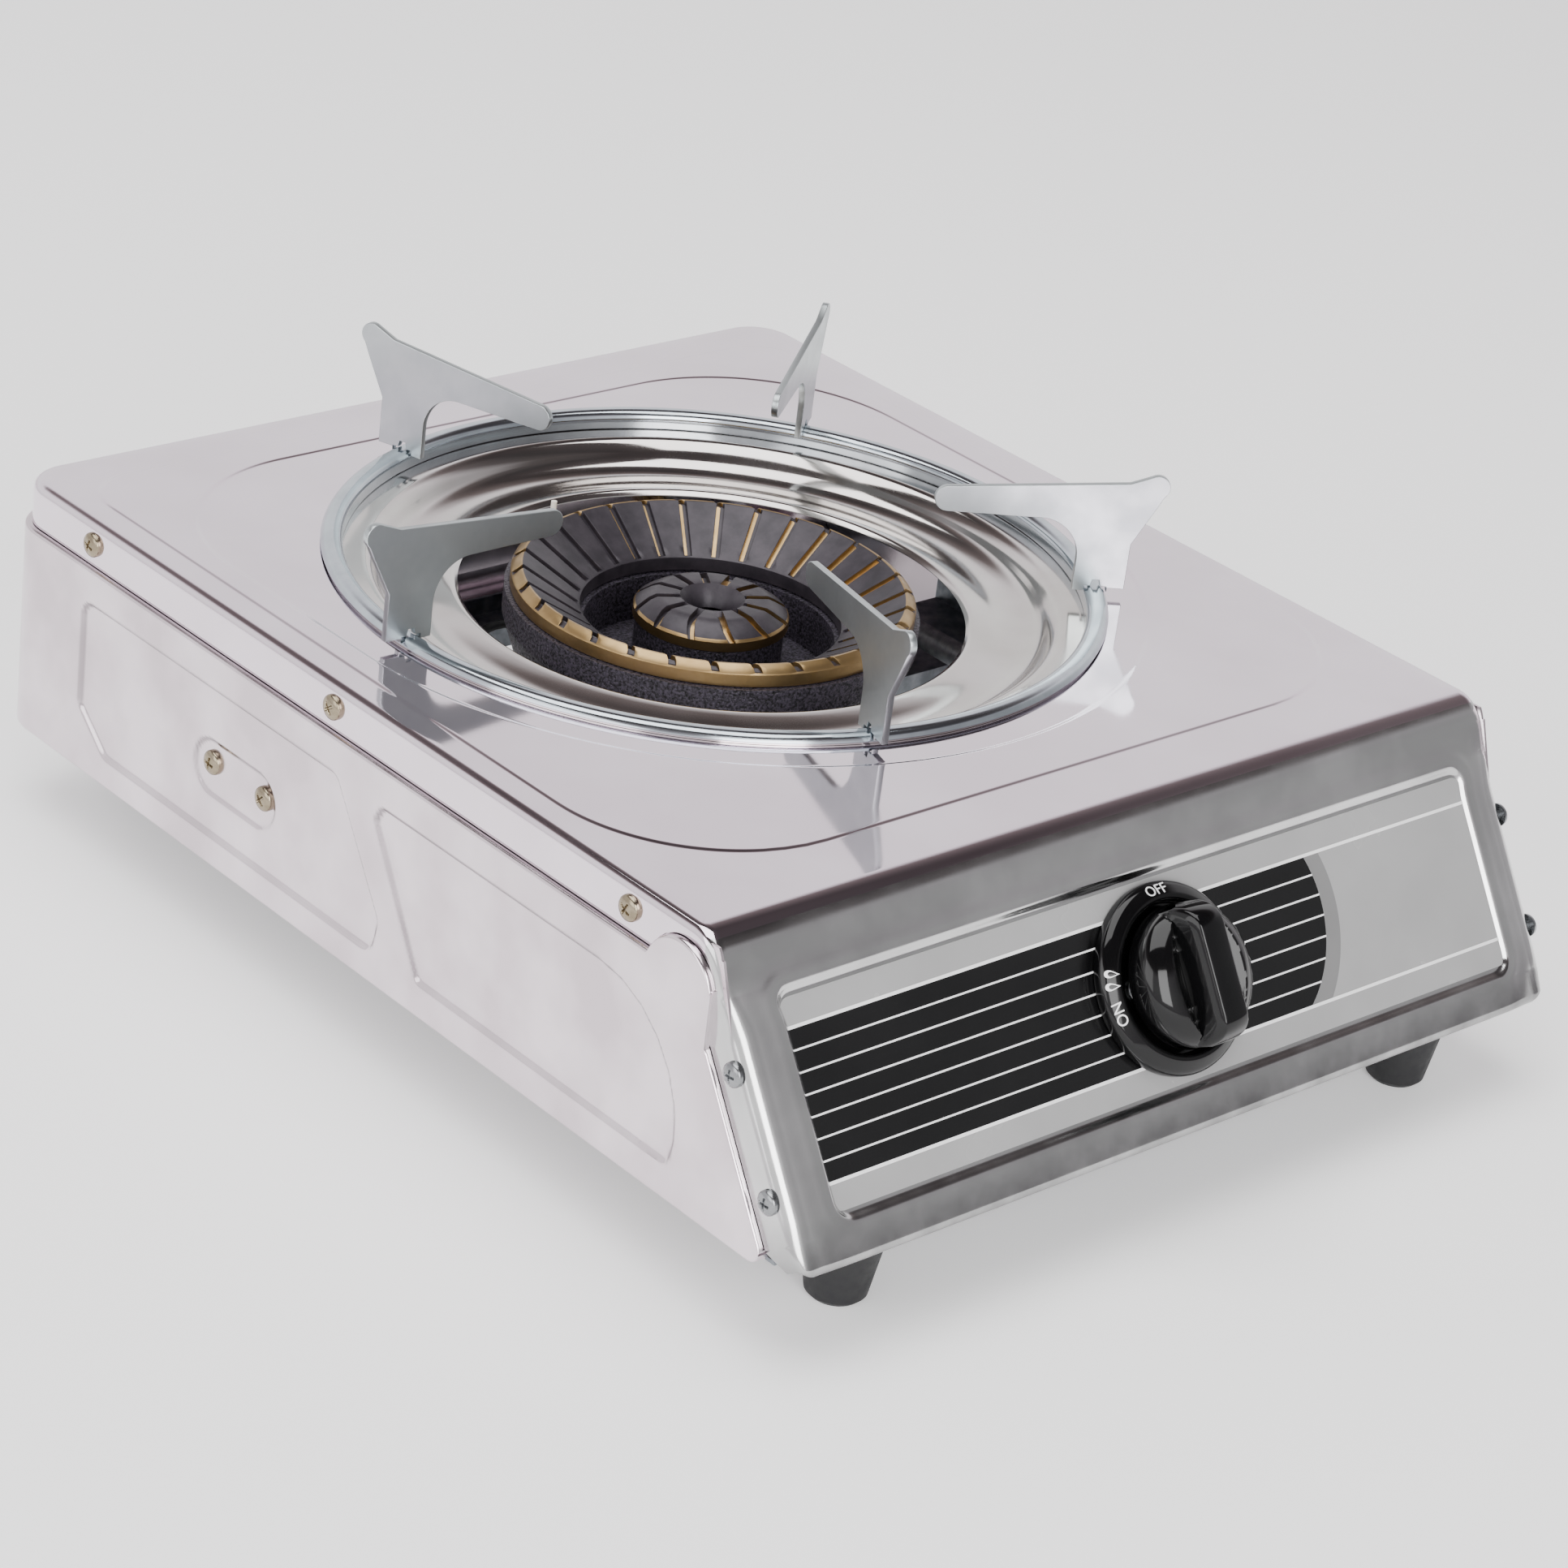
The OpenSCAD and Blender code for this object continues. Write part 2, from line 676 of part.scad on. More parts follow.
module burner_casting() {
    channel_in = cap_open_r + cast_wall;
    color(iron) place() difference() {
        union() {
            around_burner() rotate_extrude($fn = 96) polygon([
                [0, bowl_floor_z - 4], [34, bowl_floor_z - 4], [bowl_r - 6, bowl_floor_z + 6],
                [bowl_r, cap_seat_z - 8], [bowl_r, cap_seat_z], [bowl_r - cast_wall, cap_seat_z],
                [bowl_r - cast_wall, cap_seat_z - 6], [bowl_r - cast_wall - 5, bowl_floor_z + 8],
                [channel_in, bowl_floor_z + 8], [channel_in, inner_wall_top],
                [cap_open_r - 1.5, inner_wall_top],
                [cap_open_r - 1.5, bowl_floor_z + 8], [inner_cap_r - 1, bowl_floor_z + 8],
                [inner_cap_r - 1, inner_seat_z], [inner_cap_r - 1 - cast_wall, inner_seat_z],
                [inner_cap_r - 4 - cast_wall, bowl_floor_z + 4], [0, bowl_floor_z + 4]]);
            for (side = [-1, 1]) translate([side * tube_x, tube_mouth_y, tube_z]) rotate([-90, 0, 0]) {
                cylinder(r = tube_r, h = burner_y - tube_mouth_y - (side < 0 ? 4 : 28));
                cylinder(r = tube_r + 1.8, h = 5);
            }
            translate([0, bracket_y, bracket_z + bracket_t])
                cylinder(r = 8, h = bowl_floor_z - bracket_z);
        }
        for (side = [-1, 1]) translate([side * tube_x, tube_mouth_y, tube_z]) rotate([-90, 0, 0])
            translate([0, 0, -1]) cylinder(r = tube_bore_r, h = burner_y - tube_mouth_y - (side < 0 ? 6 : 36));
        for (riser = [[4 - tube_x, burner_y - 8], [tube_x, burner_y - cap_open_r - 8]])
            translate([riser[0], riser[1], tube_z]) cylinder(r = 5, h = bowl_floor_z - tube_z + 10);
        translate([0, bracket_y, bracket_z]) cylinder(r = screw_r + 0.1, h = 8);
    }
}

module burner_screw() {
    color(zinc) place() translate([0, bracket_y, bracket_z]) rotate([180, 0, 0]) screw(8);
}

// A cap's flame slots: thin cuts that fan out around the axis
module flame_slots(count, r_in, r_out, z_low) {
    for (i = [0:count - 1]) rotate([0, 0, 360 * i / count])
        translate([r_in, -slot_w / 2, z_low]) cube([r_out - r_in, slot_w, far]);
}

module outer_burner_cap() {
    color(brass) place() around_burner() difference() {
        rotate_extrude($fn = 128) polygon([
            [cap_r - 2, cap_rim_z], [cap_open_r, cap_inner_z], [cap_open_r, cap_inner_z - 5],
            [cap_open_r + 2, cap_inner_z - 5], [cap_open_r + 2, cap_inner_z - 1.5],
            [bowl_r - cast_wall - 1.5, cap_rim_z - 4], [bowl_r - cast_wall - 1.5, cap_seat_z - 3],
            [bowl_r - cast_wall - 0.5, cap_seat_z - 3], [bowl_r - cast_wall - 0.5, cap_seat_z + rest_gap],
            [cap_r, cap_seat_z + rest_gap], [cap_r, cap_rim_z - 1.6]]);
        flame_slots(cap_slots, cap_open_r + 2.5, cap_r - 0.8, cap_rim_z - 5);
    }
}

module inner_burner_cap() {
    seat = inner_seat_z + rest_gap;
    neck_r = inner_cap_r - 1 - cast_wall - 0.5;
    color(brass) place() around_burner() difference() {
        rotate_extrude($fn = 96) polygon([
            [8, inner_rim_z - 1], [9.5, inner_rim_z], [inner_cap_r - 6, inner_rim_z],
            [inner_cap_r, inner_rim_z - 3.2], [inner_cap_r, seat], [neck_r, seat],
            [neck_r, seat - 3], [neck_r - 2, seat - 3], [neck_r - 2, seat + 1], [8, seat + 1]]);
        flame_slots(inner_slots, 10, inner_cap_r - 1, inner_rim_z - 4.2);
    }
}

// ---- drip pan and pan support --------------------------------------------

module drip_pan() {
    pan_t = 0.6;
    path = [
        [pan_open_r, deck_h - 10.5], [pan_open_r + 1.2, deck_h - 9.2], [pan_open_r + 6, deck_h - 10],
        [pan_open_r + 11, deck_h - 11], [pan_wall_r - 19, deck_h - 11], [pan_wall_r - 14, deck_h - 9.4],
        [pan_wall_r - 11, deck_h - 5.4], [pan_wall_r - 8.6, ledge_z - pan_t],
        [pan_wall_r - 0.8, ledge_z - pan_t], [pan_wall_r, ledge_z], [pan_wall_r, pan_lip_z - 0.2],
        [pan_wall_r + 0.4, pan_lip_z], [pan_lip_r, pan_lip_z]];
    color(steel) place() around_burner() rotate_extrude($fn = 128)
        polygon(sheet_section(path, pan_t));
}

module support_ring() {
    inner_low = ledge_z + rest_gap;
    outer_low = pan_lip_z + 0.6 + rest_gap;
    color(zinc) place() around_burner() rotate_extrude($fn = 128) difference() {
        polygon([[ring_inner_r, inner_low], [ring_outer_r, inner_low], [ring_outer_r, ring_top_z - 1],
            [ring_outer_r - 1, ring_top_z], [ring_inner_r + 1, ring_top_z], [ring_inner_r, ring_top_z - 1]]);
        polygon([[ring_inner_r + ring_t, 0], [ring_outer_r - ring_t, 0],
            [ring_outer_r - ring_t, ring_top_z - ring_t], [ring_inner_r + ring_t, ring_top_z - ring_t]]);
        translate([ring_inner_r + ring_t, 0]) square([ring_w, outer_low]);
    }
}

// A support arm's outline in its own plane: radius from the burner's axis, height
module arm_outline() {
    top = deck_h + arm_rise;
    tip_r = 3.9;
    finger_r = 3.6;
    leg_out = ring_outer_r + 5.4;
    leg_in = ring_inner_r - 3.6;
    under = top - 12.5;
    fillet = 12;
    finger = [ring_outer_r + arm_reach - finger_r, top - 0.6];
    tip = [arm_tip_r + tip_r, top - 8.6];
    ring_mid = (ring_inner_r + ring_outer_r) / 2;
    difference() {
        union() {
            polygon([tip + [0, tip_r], tip + [0, -tip_r], [leg_in - fillet, under], [leg_in, under],
                [leg_in, deck_h + 1.4], [leg_out, deck_h + 1.4], [leg_out, top - 19],
                finger + [0.5, -finger_r - 3], finger + [finger_r, 0], finger + [-1.6, finger_r - 0.4],
                [leg_out - 2.6, top]]);
            translate(tip) circle(tip_r);
            translate(finger) circle(finger_r);
            translate([leg_in - fillet, under - fillet]) square(fillet);
        }
        translate([leg_in - fillet, under - fillet]) circle(fillet);
        polygon([[ring_inner_r - 0.1, 0], [ring_outer_r + 0.1, 0], [ring_outer_r + 0.1, ring_top_z],
            [ring_mid + 1.5, ring_top_z], [ring_mid + 1, ring_top_z + 2], [ring_mid - 1, ring_top_z + 2],
            [ring_mid - 1.5, ring_top_z], [ring_inner_r - 0.1, ring_top_z]]);
        translate([leg_out - 5, 0]) square([20, ring_top_z - 0.4]);
    }
}

// Arm i stands on the ring; the second arm points along +108 degrees and so on
module support_arm(i) {
    color(zinc) place() around_burner() rotate([0, 0, -36 + (i - 1) * 360 / arm_count])
        rotate([90, 0, 0]) linear_extrude(arm_t, center = true) arm_outline();
}

module support_arm_1() {
    support_arm(1);
}

module support_arm_2() {
    support_arm(2);
}

module support_arm_3() {
    support_arm(3);
}

module support_arm_4() {
    support_arm(4);
}

module support_arm_5() {
    support_arm(5);
}

// ---- knob, valve and gas line --------------------------------------------

module knob_bezel() {
    bore = knob_r + 1.3;
    rim = label_face + bezel_h;
    color(black) place() on_knob_axis() difference() {
        rotate_extrude($fn = 96) polygon([[bezel_bore_r, label_face], [bezel_r, label_face],
            [bezel_r, rim - 3], [bezel_r - 1.2, rim - 1.2], [bore + 1.2, rim], [bore, rim - 0.6],
            [bore, label_face + bezel_floor], [bezel_bore_r, label_face + bezel_floor]]);
        valve_screw_spots() cylinder(r = screw_hole_r, h = 8, center = true);
    }
}

module knob() {
    color(black) place() on_knob_axis() difference() {
        union() {
            rotate_extrude($fn = 96) polygon([[0, knob_base], [knob_r, knob_base],
                [knob_r, knob_side_h - 1], [knob_r - 1, knob_side_h], [knob_r - 3, knob_side_h + 1.4],
                [0, knob_side_h + 1.4]]);
            intersection() {
                rotate_extrude($fn = 96) polygon([[0, knob_base], [knob_r - 0.3, knob_base],
                    [knob_r - 0.3, knob_h - grip_round], [knob_r - 0.3 - grip_round, knob_h], [0, knob_h]]);
                translate([0, 0, knob_h / 2]) cube([grip_w, 3 * knob_r, knob_h], center = true);
            }
        }
        rotate_extrude() polygon([[stem_r + 3, 0], [knob_r - 2, 0], [knob_r - 2, knob_side_h - 1],
            [stem_r + 3, knob_side_h - 1]]);
        difference() {
            cylinder(r = knob_bore_r, h = stem_top + 0.2);
            translate([-far, stem_r * 0.6 + 0.05, stem_top - 12]) cube([2 * far, far, 20]);
        }
    }
}

module valve_stem() {
    color(brass) place() on_knob_axis() difference() {
        translate([0, 0, -stem_depth]) cylinder(r = stem_r, h = stem_depth + stem_top);
        translate([-far, stem_r * 0.6, stem_top - 12.1]) cube([2 * far, far, 20]);
    }
}

module thrust_washer() {
    color(zinc) place() on_knob_axis() difference() {
        translate([0, 0, washer_base]) cylinder(r = washer_r, h = washer_t);
        cylinder(r = stem_r + turn_gap, h = far, center = true);
    }
}

module return_spring() {
    low = valve_front + spring_wire / 2 + rest_gap;
    high = washer_base - spring_wire / 2 - rest_gap;
    steps = 60;
    helix = [for (i = [0:steps]) let (t = i / steps, a = 360 * spring_turns * t)
        [spring_r * cos(a), spring_r * sin(a), low + (high - low) * t]];
    color(zinc) place() on_knob_axis() swept_tube(helix, spring_wire / 2, 8);
}

module valve_body() {
    color("#9a9a9c") place() difference() {
        union() {
            on_knob_axis() {
                translate([0, 0, valve_front]) cylinder(r = valve_flange_r, h = valve_flange_t);
                translate([0, 0, valve_front - valve_depth]) cylinder(r = valve_r, h = valve_depth + tiny);
            }
            translate([-block_half, block_y[0], block_z[0]])
                cube([2 * block_half, block_y[1] - block_y[0], block_z[1] - block_z[0]]);
        }
        on_knob_axis() {
            translate([0, 0, -stem_depth - push_travel - 1]) cylinder(r = stem_r + 0.1, h = far);
            translate([0, 0, valve_front]) cylinder(r = spring_r + spring_wire, h = far);
            valve_screw_spots() cylinder(r = screw_r + 0.1, h = 30, center = true);
        }
    }
}

module valve_screws() {
    color(zinc) place() on_knob_axis() valve_screw_spots()
        translate([0, 0, label_face + bezel_floor]) screw(7);
}

// A jet: hexagon, thread and tip, pointing back into its mixing tube
module jet(x) {
    color(brass) place() translate([x, block_y[1], tube_z]) rotate([-90, 0, 0]) difference() {
        union() {
            cylinder(r = jet_r + 1, h = 6, $fn = 6);
            cylinder(r = jet_r - 0.4, h = jet_len);
            translate([0, 0, jet_len - tiny]) cylinder(r1 = jet_r - 0.4, r2 = 2.2, h = 4);
        }
        translate([0, 0, -1]) cylinder(r = 1.5, h = far);
    }
}

module outer_jet() {
    jet(tube_x);
}

module inner_jet() {
    jet(-tube_x);
}

// A turnable disc that closes more or less of a mixing tube's mouth
module air_shutter(x) {
    shutter_t = 1;
    plate_r = tube_r + 1.6;
    color(dark_steel) place() translate([x, tube_mouth_y - shutter_t - turn_gap, tube_z])
        rotate([-90, 0, 0]) difference() {
            union() {
                cylinder(r = plate_r, h = shutter_t);
                translate([-2.5, plate_r - 2, 0]) cube([5, 10, shutter_t]);
            }
            translate([0, 0, -1]) cylinder(r = jet_r - 0.4 + turn_gap, h = 4);
            for (turn = [0, 180]) rotate([0, 0, turn]) translate([7.4, 0, -1]) cylinder(r = 2, h = 4);
        }
}

module outer_air_shutter() {
    air_shutter(tube_x);
}

module inner_air_shutter() {
    air_shutter(-tube_x);
}

module piezo_igniter() {
    color(black) place() {
        translate([piezo_x, piezo_y[0], piezo_z]) rotate([-90, 0, 0]) cylinder(r = 6, h = piezo_y[1] - piezo_y[0]);
        translate([piezo_x - 4, block_y[0] + 1, piezo_z + 1]) cube([-block_half - piezo_x + 4, 10, 6]);
    }
}

module ignition_lead() {
    route = concat([lead_start], smooth_route(lead_points, 5), [lead_end]);
    color(black) place() swept_tube(route, lead_r, 10);
}

module electrode_clip() {
    color(dark_steel) place() difference() {
        translate([electrode_x, electrode_y, cap_seat_z - 8]) cylinder(r = electrode_r - bowl_r + 0.2, h = 4);
        translate([electrode_x, electrode_y, 0]) cylinder(r = ceramic_r, h = far);
        around_burner() cylinder(r = bowl_r, h = far, $fn = 96);
    }
}

module spark_electrode() {
    top = cap_rim_z - 6;
    color("#ece8e0") place() translate([electrode_x, electrode_y, 0]) {
        translate([0, 0, electrode_base]) cylinder(r = ceramic_r, h = top - electrode_base);
        translate([0, 0, top - tiny]) cylinder(r = 0.9, h = 6);
    }
}

module gas_pipe() {
    pipe_bore_r = pipe_r - 1;
    rear_end = nozzle_y - stub_len;
    bend_y = pipe_front_y + pipe_bend_r;
    bend_x = inlet_x - pipe_bend_r;
    color(zinc) place() translate([0, 0, inlet_z]) {
        translate([inlet_x, bend_y, 0]) rotate([-90, 0, 0]) difference() {
            cylinder(r = pipe_r, h = rear_end - bend_y);
            translate([0, 0, -1]) cylinder(r = pipe_bore_r, h = far);
        }
        translate([block_half, pipe_front_y, 0]) rotate([0, 90, 0]) difference() {
            cylinder(r = pipe_r, h = bend_x - block_half);
            translate([0, 0, -1]) cylinder(r = pipe_bore_r, h = far);
        }
        translate([bend_x, bend_y, 0]) rotate([0, 0, -90]) rotate_extrude(angle = 90)
            translate([pipe_bend_r, 0]) difference() {
                circle(pipe_r);
                circle(pipe_bore_r);
            }
    }
}

module hose_nozzle() {
    groove = 0.8;
    land = 7;
    ridges = [for (i = [0:2]) hex_t + land + i * 3.4];
    color(brass) place() translate([inlet_x, nozzle_y, inlet_z]) rotate([-90, 0, 0]) difference() {
        union() {
            cylinder(r = hex_r, h = hex_t, $fn = 6);
            translate([0, 0, -stub_len]) cylinder(r = stub_r, h = stub_len + tiny);
            cylinder(r = hose_r, h = hex_t + hose_len - 1);
            translate([0, 0, hex_t + hose_len - 1 - tiny]) cylinder(r1 = hose_r, r2 = hose_r - 0.8, h = 1 + tiny);
        }
        for (z = ridges) translate([0, 0, z]) difference() {
            cylinder(r = hose_r + 1, h = 1.6);
            translate([0, 0, -1]) cylinder(r = hose_r - groove, h = 5);
        }
        translate([0, 0, -stub_len - 1]) cylinder(r = hose_r - 1.6, h = far);
    }
}

module nozzle_nut() {
    color(brass) place() translate([inlet_x, wall_rear - sheet_t, inlet_z]) rotate([90, 0, 0]) difference() {
        cylinder(r = hex_r, h = nut_t, $fn = 6);
        translate([0, 0, -1]) cylinder(r = stub_r + 0.05, h = nut_t + 2);
    }
}

top_cover();
left_side_panel();
right_side_panel();
rear_panel();
front_foot_rail();
rear_foot_rail();
foot_front_left();
foot_front_right();
foot_rear_left();
foot_rear_right();
foot_screws();
front_label();
knob_bezel();
cover_screws();
flange_screws();
rear_screws();
bracket_screws();
burner_bracket();
burner_casting();
burner_screw();
valve_body();
valve_screws();
outer_jet();
inner_jet();
outer_air_shutter();
inner_air_shutter();
piezo_igniter();
ignition_lead();
electrode_clip();
spark_electrode();
gas_pipe();
hose_nozzle();
nozzle_nut();
drip_pan();
support_ring();
support_arm_1();
support_arm_2();
support_arm_3();
support_arm_4();
support_arm_5();
outer_burner_cap();
inner_burner_cap();
thrust_washer();
return_spring();
valve_stem();
knob();
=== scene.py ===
# %% [markdown]
# # A table-top gas stove in pressed stainless sheet
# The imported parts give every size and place.  This lesson dresses them: the big pressings are
# drawn again with their beads and soft edges, the burner caps get their flame slots, and each
# surface gets the finish of its real material.

# %% Load the frame
import math

import bmesh
import bpy
import numpy as np
from mathutils import Matrix, Vector


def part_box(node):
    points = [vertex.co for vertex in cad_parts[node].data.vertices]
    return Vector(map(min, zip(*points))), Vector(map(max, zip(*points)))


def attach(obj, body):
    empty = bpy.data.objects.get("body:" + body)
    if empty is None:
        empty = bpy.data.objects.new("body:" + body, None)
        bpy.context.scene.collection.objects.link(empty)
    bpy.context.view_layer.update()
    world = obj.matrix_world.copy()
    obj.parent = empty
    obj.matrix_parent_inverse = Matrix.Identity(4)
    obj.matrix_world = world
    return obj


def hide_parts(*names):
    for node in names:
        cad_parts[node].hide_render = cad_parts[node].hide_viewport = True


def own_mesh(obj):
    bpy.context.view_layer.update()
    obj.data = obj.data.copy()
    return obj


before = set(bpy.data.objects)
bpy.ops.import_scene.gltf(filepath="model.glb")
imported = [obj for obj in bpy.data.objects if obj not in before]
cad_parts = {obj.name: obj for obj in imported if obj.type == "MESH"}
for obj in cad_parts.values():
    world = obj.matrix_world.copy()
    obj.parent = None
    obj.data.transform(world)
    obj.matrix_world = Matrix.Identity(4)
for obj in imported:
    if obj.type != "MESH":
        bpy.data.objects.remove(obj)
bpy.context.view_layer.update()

# %% [markdown]
# Drawing in millimetres from the front bend keeps the numbers readable.  The bend is where deck
# and front panel would meet if the fold had no radius; every other place comes from a part's box.

# %% Places taken from the parts
MM = 0.001
DECK_DEPTH = 317.0
SHEET = 0.8
cover_low, cover_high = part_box("top_cover")
deck_z = cover_high.z / MM
cover_half = cover_high.x / MM
bend_y = cover_high.y / MM - DECK_DEPTH
ring_low, ring_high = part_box("support_ring")
burner_y = (ring_low.y + ring_high.y) / 2 / MM - bend_y
LEAN = math.radians(33)
SIN, COS = math.sin(LEAN), math.cos(LEAN)
front_bottom = cover_low.z / MM
front_len = (deck_z - front_bottom) / COS
print(f"deck at {deck_z:.1f} mm, burner axis {burner_y:.1f} mm behind the bend")

# %% Points, faces and pieces
def from_box(node):
    """A node's lowest and highest corners in millimetres from the bend."""
    shift = Vector((0, bend_y, 0))
    return [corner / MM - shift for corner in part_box(node)]


def sheet_faces(rows, columns, closed=False):
    """Quads over a grid of points stored row by row."""
    r, c = np.meshgrid(np.arange(rows - 1), np.arange(columns if closed else columns - 1), indexing="ij")
    n = (c + 1) % columns
    return np.stack([r * columns + c, r * columns + n, (r + 1) * columns + n, (r + 1) * columns + c],
                    -1).reshape(-1, 4)


def add_object(name, data):
    """An object at the origin, in the scene."""
    made = bpy.data.objects.new(name, data)
    bpy.context.scene.collection.objects.link(made)
    return made


def new_mesh(name, points, faces, origin=None):
    """A mesh object from points in millimetres, measured from the bend unless told otherwise."""
    origin = [0, bend_y, 0] if origin is None else origin
    points = (np.asarray(points, float).reshape(-1, 3) + origin) * MM
    mesh = bpy.data.meshes.new(name)
    mesh.from_pydata(points.tolist(), [], [list(map(int, face)) for face in faces])
    return add_object(name, mesh)


def edit_mesh(made):
    """A bmesh of an object's mesh; save_mesh writes it back."""
    work = bmesh.new()
    work.from_mesh(made.data)
    return work


def save_mesh(work, made):
    work.to_mesh(made.data)
    work.free()


def tidy_mesh(made, weld=1e-6, outward=True, sharp=35):
    """Welds doubles, turns faces outwards and keeps only real edges sharp."""
    work = edit_mesh(made)
    bmesh.ops.remove_doubles(work, verts=work.verts, dist=weld)
    bmesh.ops.dissolve_degenerate(work, edges=work.edges, dist=1e-8)
    if outward:
        bmesh.ops.recalc_face_normals(work, faces=work.faces)
    save_mesh(work, made)
    made.data.shade_smooth()
    made.data.set_sharp_from_angle(angle=math.radians(sharp))
    return made


def freeze(made):
    """Turns an object with modifiers into a plain mesh."""
    bpy.context.view_layer.update()
    seen = made.evaluated_get(bpy.context.evaluated_depsgraph_get())
    plain = bpy.data.meshes.new_from_object(seen)
    old = made.data
    made.modifiers.clear()
    made.data = plain
    plain.name = made.name
    if old.users == 0:
        bpy.data.meshes.remove(old)
    return made


def finish_piece(made, body, slot, *nodes, finish=None):
    """Gives a piece its finish if one is given, hands it to its body and hides the parts it stands for."""
    if finish is not None:
        made.data.materials.append(finish)
    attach(made, body)
    if nodes:
        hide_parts(*nodes)
    triangles = sum(len(p.vertices) - 2 for p in made.data.polygons)
    print(f"{made.name}: {triangles} triangles")
    return made


# %% [markdown]
# The camera comes first, so that each new piece is judged from the same place.  It is a long lens
# from the left front corner, looking down over the deck.

# %% Camera
CAMERA_AT = (-815.18, -708.15, 635.70)
AZIMUTH, ELEVATION, ROLL = math.radians(-44.21), math.radians(26.59), math.radians(7.35)
back = Vector((math.sin(AZIMUTH) * math.cos(ELEVATION), -math.cos(AZIMUTH) * math.cos(ELEVATION),
               math.sin(ELEVATION)))
level_right = (-back).cross(Vector((0, 0, 1))).normalized()
level_up = level_right.cross(-back)
right = math.cos(ROLL) * level_right + math.sin(ROLL) * level_up
up = -math.sin(ROLL) * level_right + math.cos(ROLL) * level_up
lens = bpy.data.cameras.new("camera")
lens.sensor_width = 36
lens.lens = 103.18
camera = add_object("camera", lens)
turn = Matrix((right, up, back)).transposed().to_4x4()
place = Vector(CAMERA_AT) * MM + Vector((0, bend_y * MM, 0))
camera.matrix_world = Matrix.Translation(place) @ turn
lens.clip_end = 20
bpy.context.scene.camera = camera
print("camera is", round(place.length, 2), "m away")

# %% [markdown]
# A finish is a shader and a few textures.  Colours are written as sRGB hex, the way a paint chart
# gives them, and turned to linear light by one function.  One more function adds any node.

# %% Colour and nodes
def hex_colour(code):
    """An sRGB hex colour as linear RGBA."""
    values = [int(code[i:i + 2], 16) / 255 for i in (1, 3, 5)]
    return [v / 12.92 if v <= 0.04045 else ((v + 0.055) / 1.055) ** 2.4 for v in values] + [1.0]


def add_node(tree, kind, settings=None, inputs=None):
    """Adds a node to any tree, with its settings and with values or links for its sockets."""
    made = tree.nodes.new(kind)
    for key, value in (settings or {}).items():
        setattr(made, key, value)
    for key, value in (inputs or {}).items():
        if isinstance(value, bpy.types.NodeSocket):
            tree.links.new(value, made.inputs[key])
        else:
            made.inputs[key].default_value = value
    return made


def new_finish(name, colour, metallic, roughness, **sockets):
    """A material with one Principled shader; the same-everywhere numbers sit on its sockets."""
    finish = bpy.data.materials.new(name)
    finish.use_nodes = True
    tree = finish.node_tree
    shader = tree.nodes["Principled BSDF"]
    shader.inputs["Base Color"].default_value = hex_colour(colour)
    shader.inputs["Metallic"].default_value = metallic
    shader.inputs["Roughness"].default_value = roughness
    for key, value in sockets.items():
        shader.inputs[key.replace("_", " ")].default_value = value
    finish.diffuse_color = hex_colour(colour)
    return finish, tree, shader, add_node(tree, "ShaderNodeTexCoord").outputs["Object"]


def per_metre(size_mm):
    """Noise scale whose features are about this many millimetres across."""
    return 1 / (size_mm * MM)


def noise(tree, coords, size_mm, detail=2.0, rough=0.5):
    return add_node(tree, "ShaderNodeTexNoise", None,
                    {"Vector": coords, "Scale": per_metre(size_mm), "Detail": detail, "Roughness": rough})


def spread(tree, value, low, high, start=0.3, end=0.7):
    """Maps a texture's middle range onto low..high."""
    return add_node(tree, "ShaderNodeMapRange", None,
                    {"Value": value, "From Min": start, "From Max": end, "To Min": low, "To Max": high}
                    ).outputs["Result"]


def tint(tree, value, one, two):
    """Two colours mixed by a texture."""
    ramp = add_node(tree, "ShaderNodeValToRGB", None, {"Fac": value})
    ramp.color_ramp.elements[0].position, ramp.color_ramp.elements[1].position = 0.35, 0.65
    ramp.color_ramp.elements[0].color, ramp.color_ramp.elements[1].color = hex_colour(one), hex_colour(two)
    return ramp.outputs["Color"]


def bump(tree, shader, height, depth_mm, strength=1.0, under=None):
    made = add_node(tree, "ShaderNodeBump", None,
                    {"Height": height, "Distance": depth_mm * MM, "Strength": strength})
    if under is not None:
        tree.links.new(under, made.inputs["Normal"])
    tree.links.new(made.outputs["Normal"], shader.inputs["Normal"])
    return made.outputs["Normal"]


# %% [markdown]
# The body is 0.8 mm stainless sheet.  The deck keeps the bright-annealed skin it left the mill
# with, so it mirrors the pan support a little softly; the walls were drawn and handled more, and
# are satin with cloudy patches.  The front panel is the same sheet, given a greyer, darker colour
# as painted shade, with more painted shade near its bottom edge; the walls carry painted shade
# along the upper and side edges of their pressed steps.

# %% Stainless sheet
def stainless(name, light, dark, rough_low, rough_high, grain_mm, grain_depth, cloud_mm=45):
    finish, tree, shader, coords = new_finish(name, light, 1.0, rough_low)
    clouds = noise(tree, coords, cloud_mm, 3).outputs["Fac"]
    tree.links.new(tint(tree, clouds, dark, light), shader.inputs["Base Color"])
    smear = noise(tree, coords, cloud_mm * 0.6, 2).outputs["Fac"]
    tree.links.new(spread(tree, smear, rough_low, rough_high), shader.inputs["Roughness"])
    # the mill's grain is under 0.1 mm; it is drawn coarser so that it shows
    grain = noise(tree, coords, grain_mm, 2).outputs["Fac"]
    waves = noise(tree, coords, 60, 1).outputs["Fac"]
    first = bump(tree, shader, waves, 0.15, 0.25)
    bump(tree, shader, grain, grain_depth, 0.5, first)
    return finish


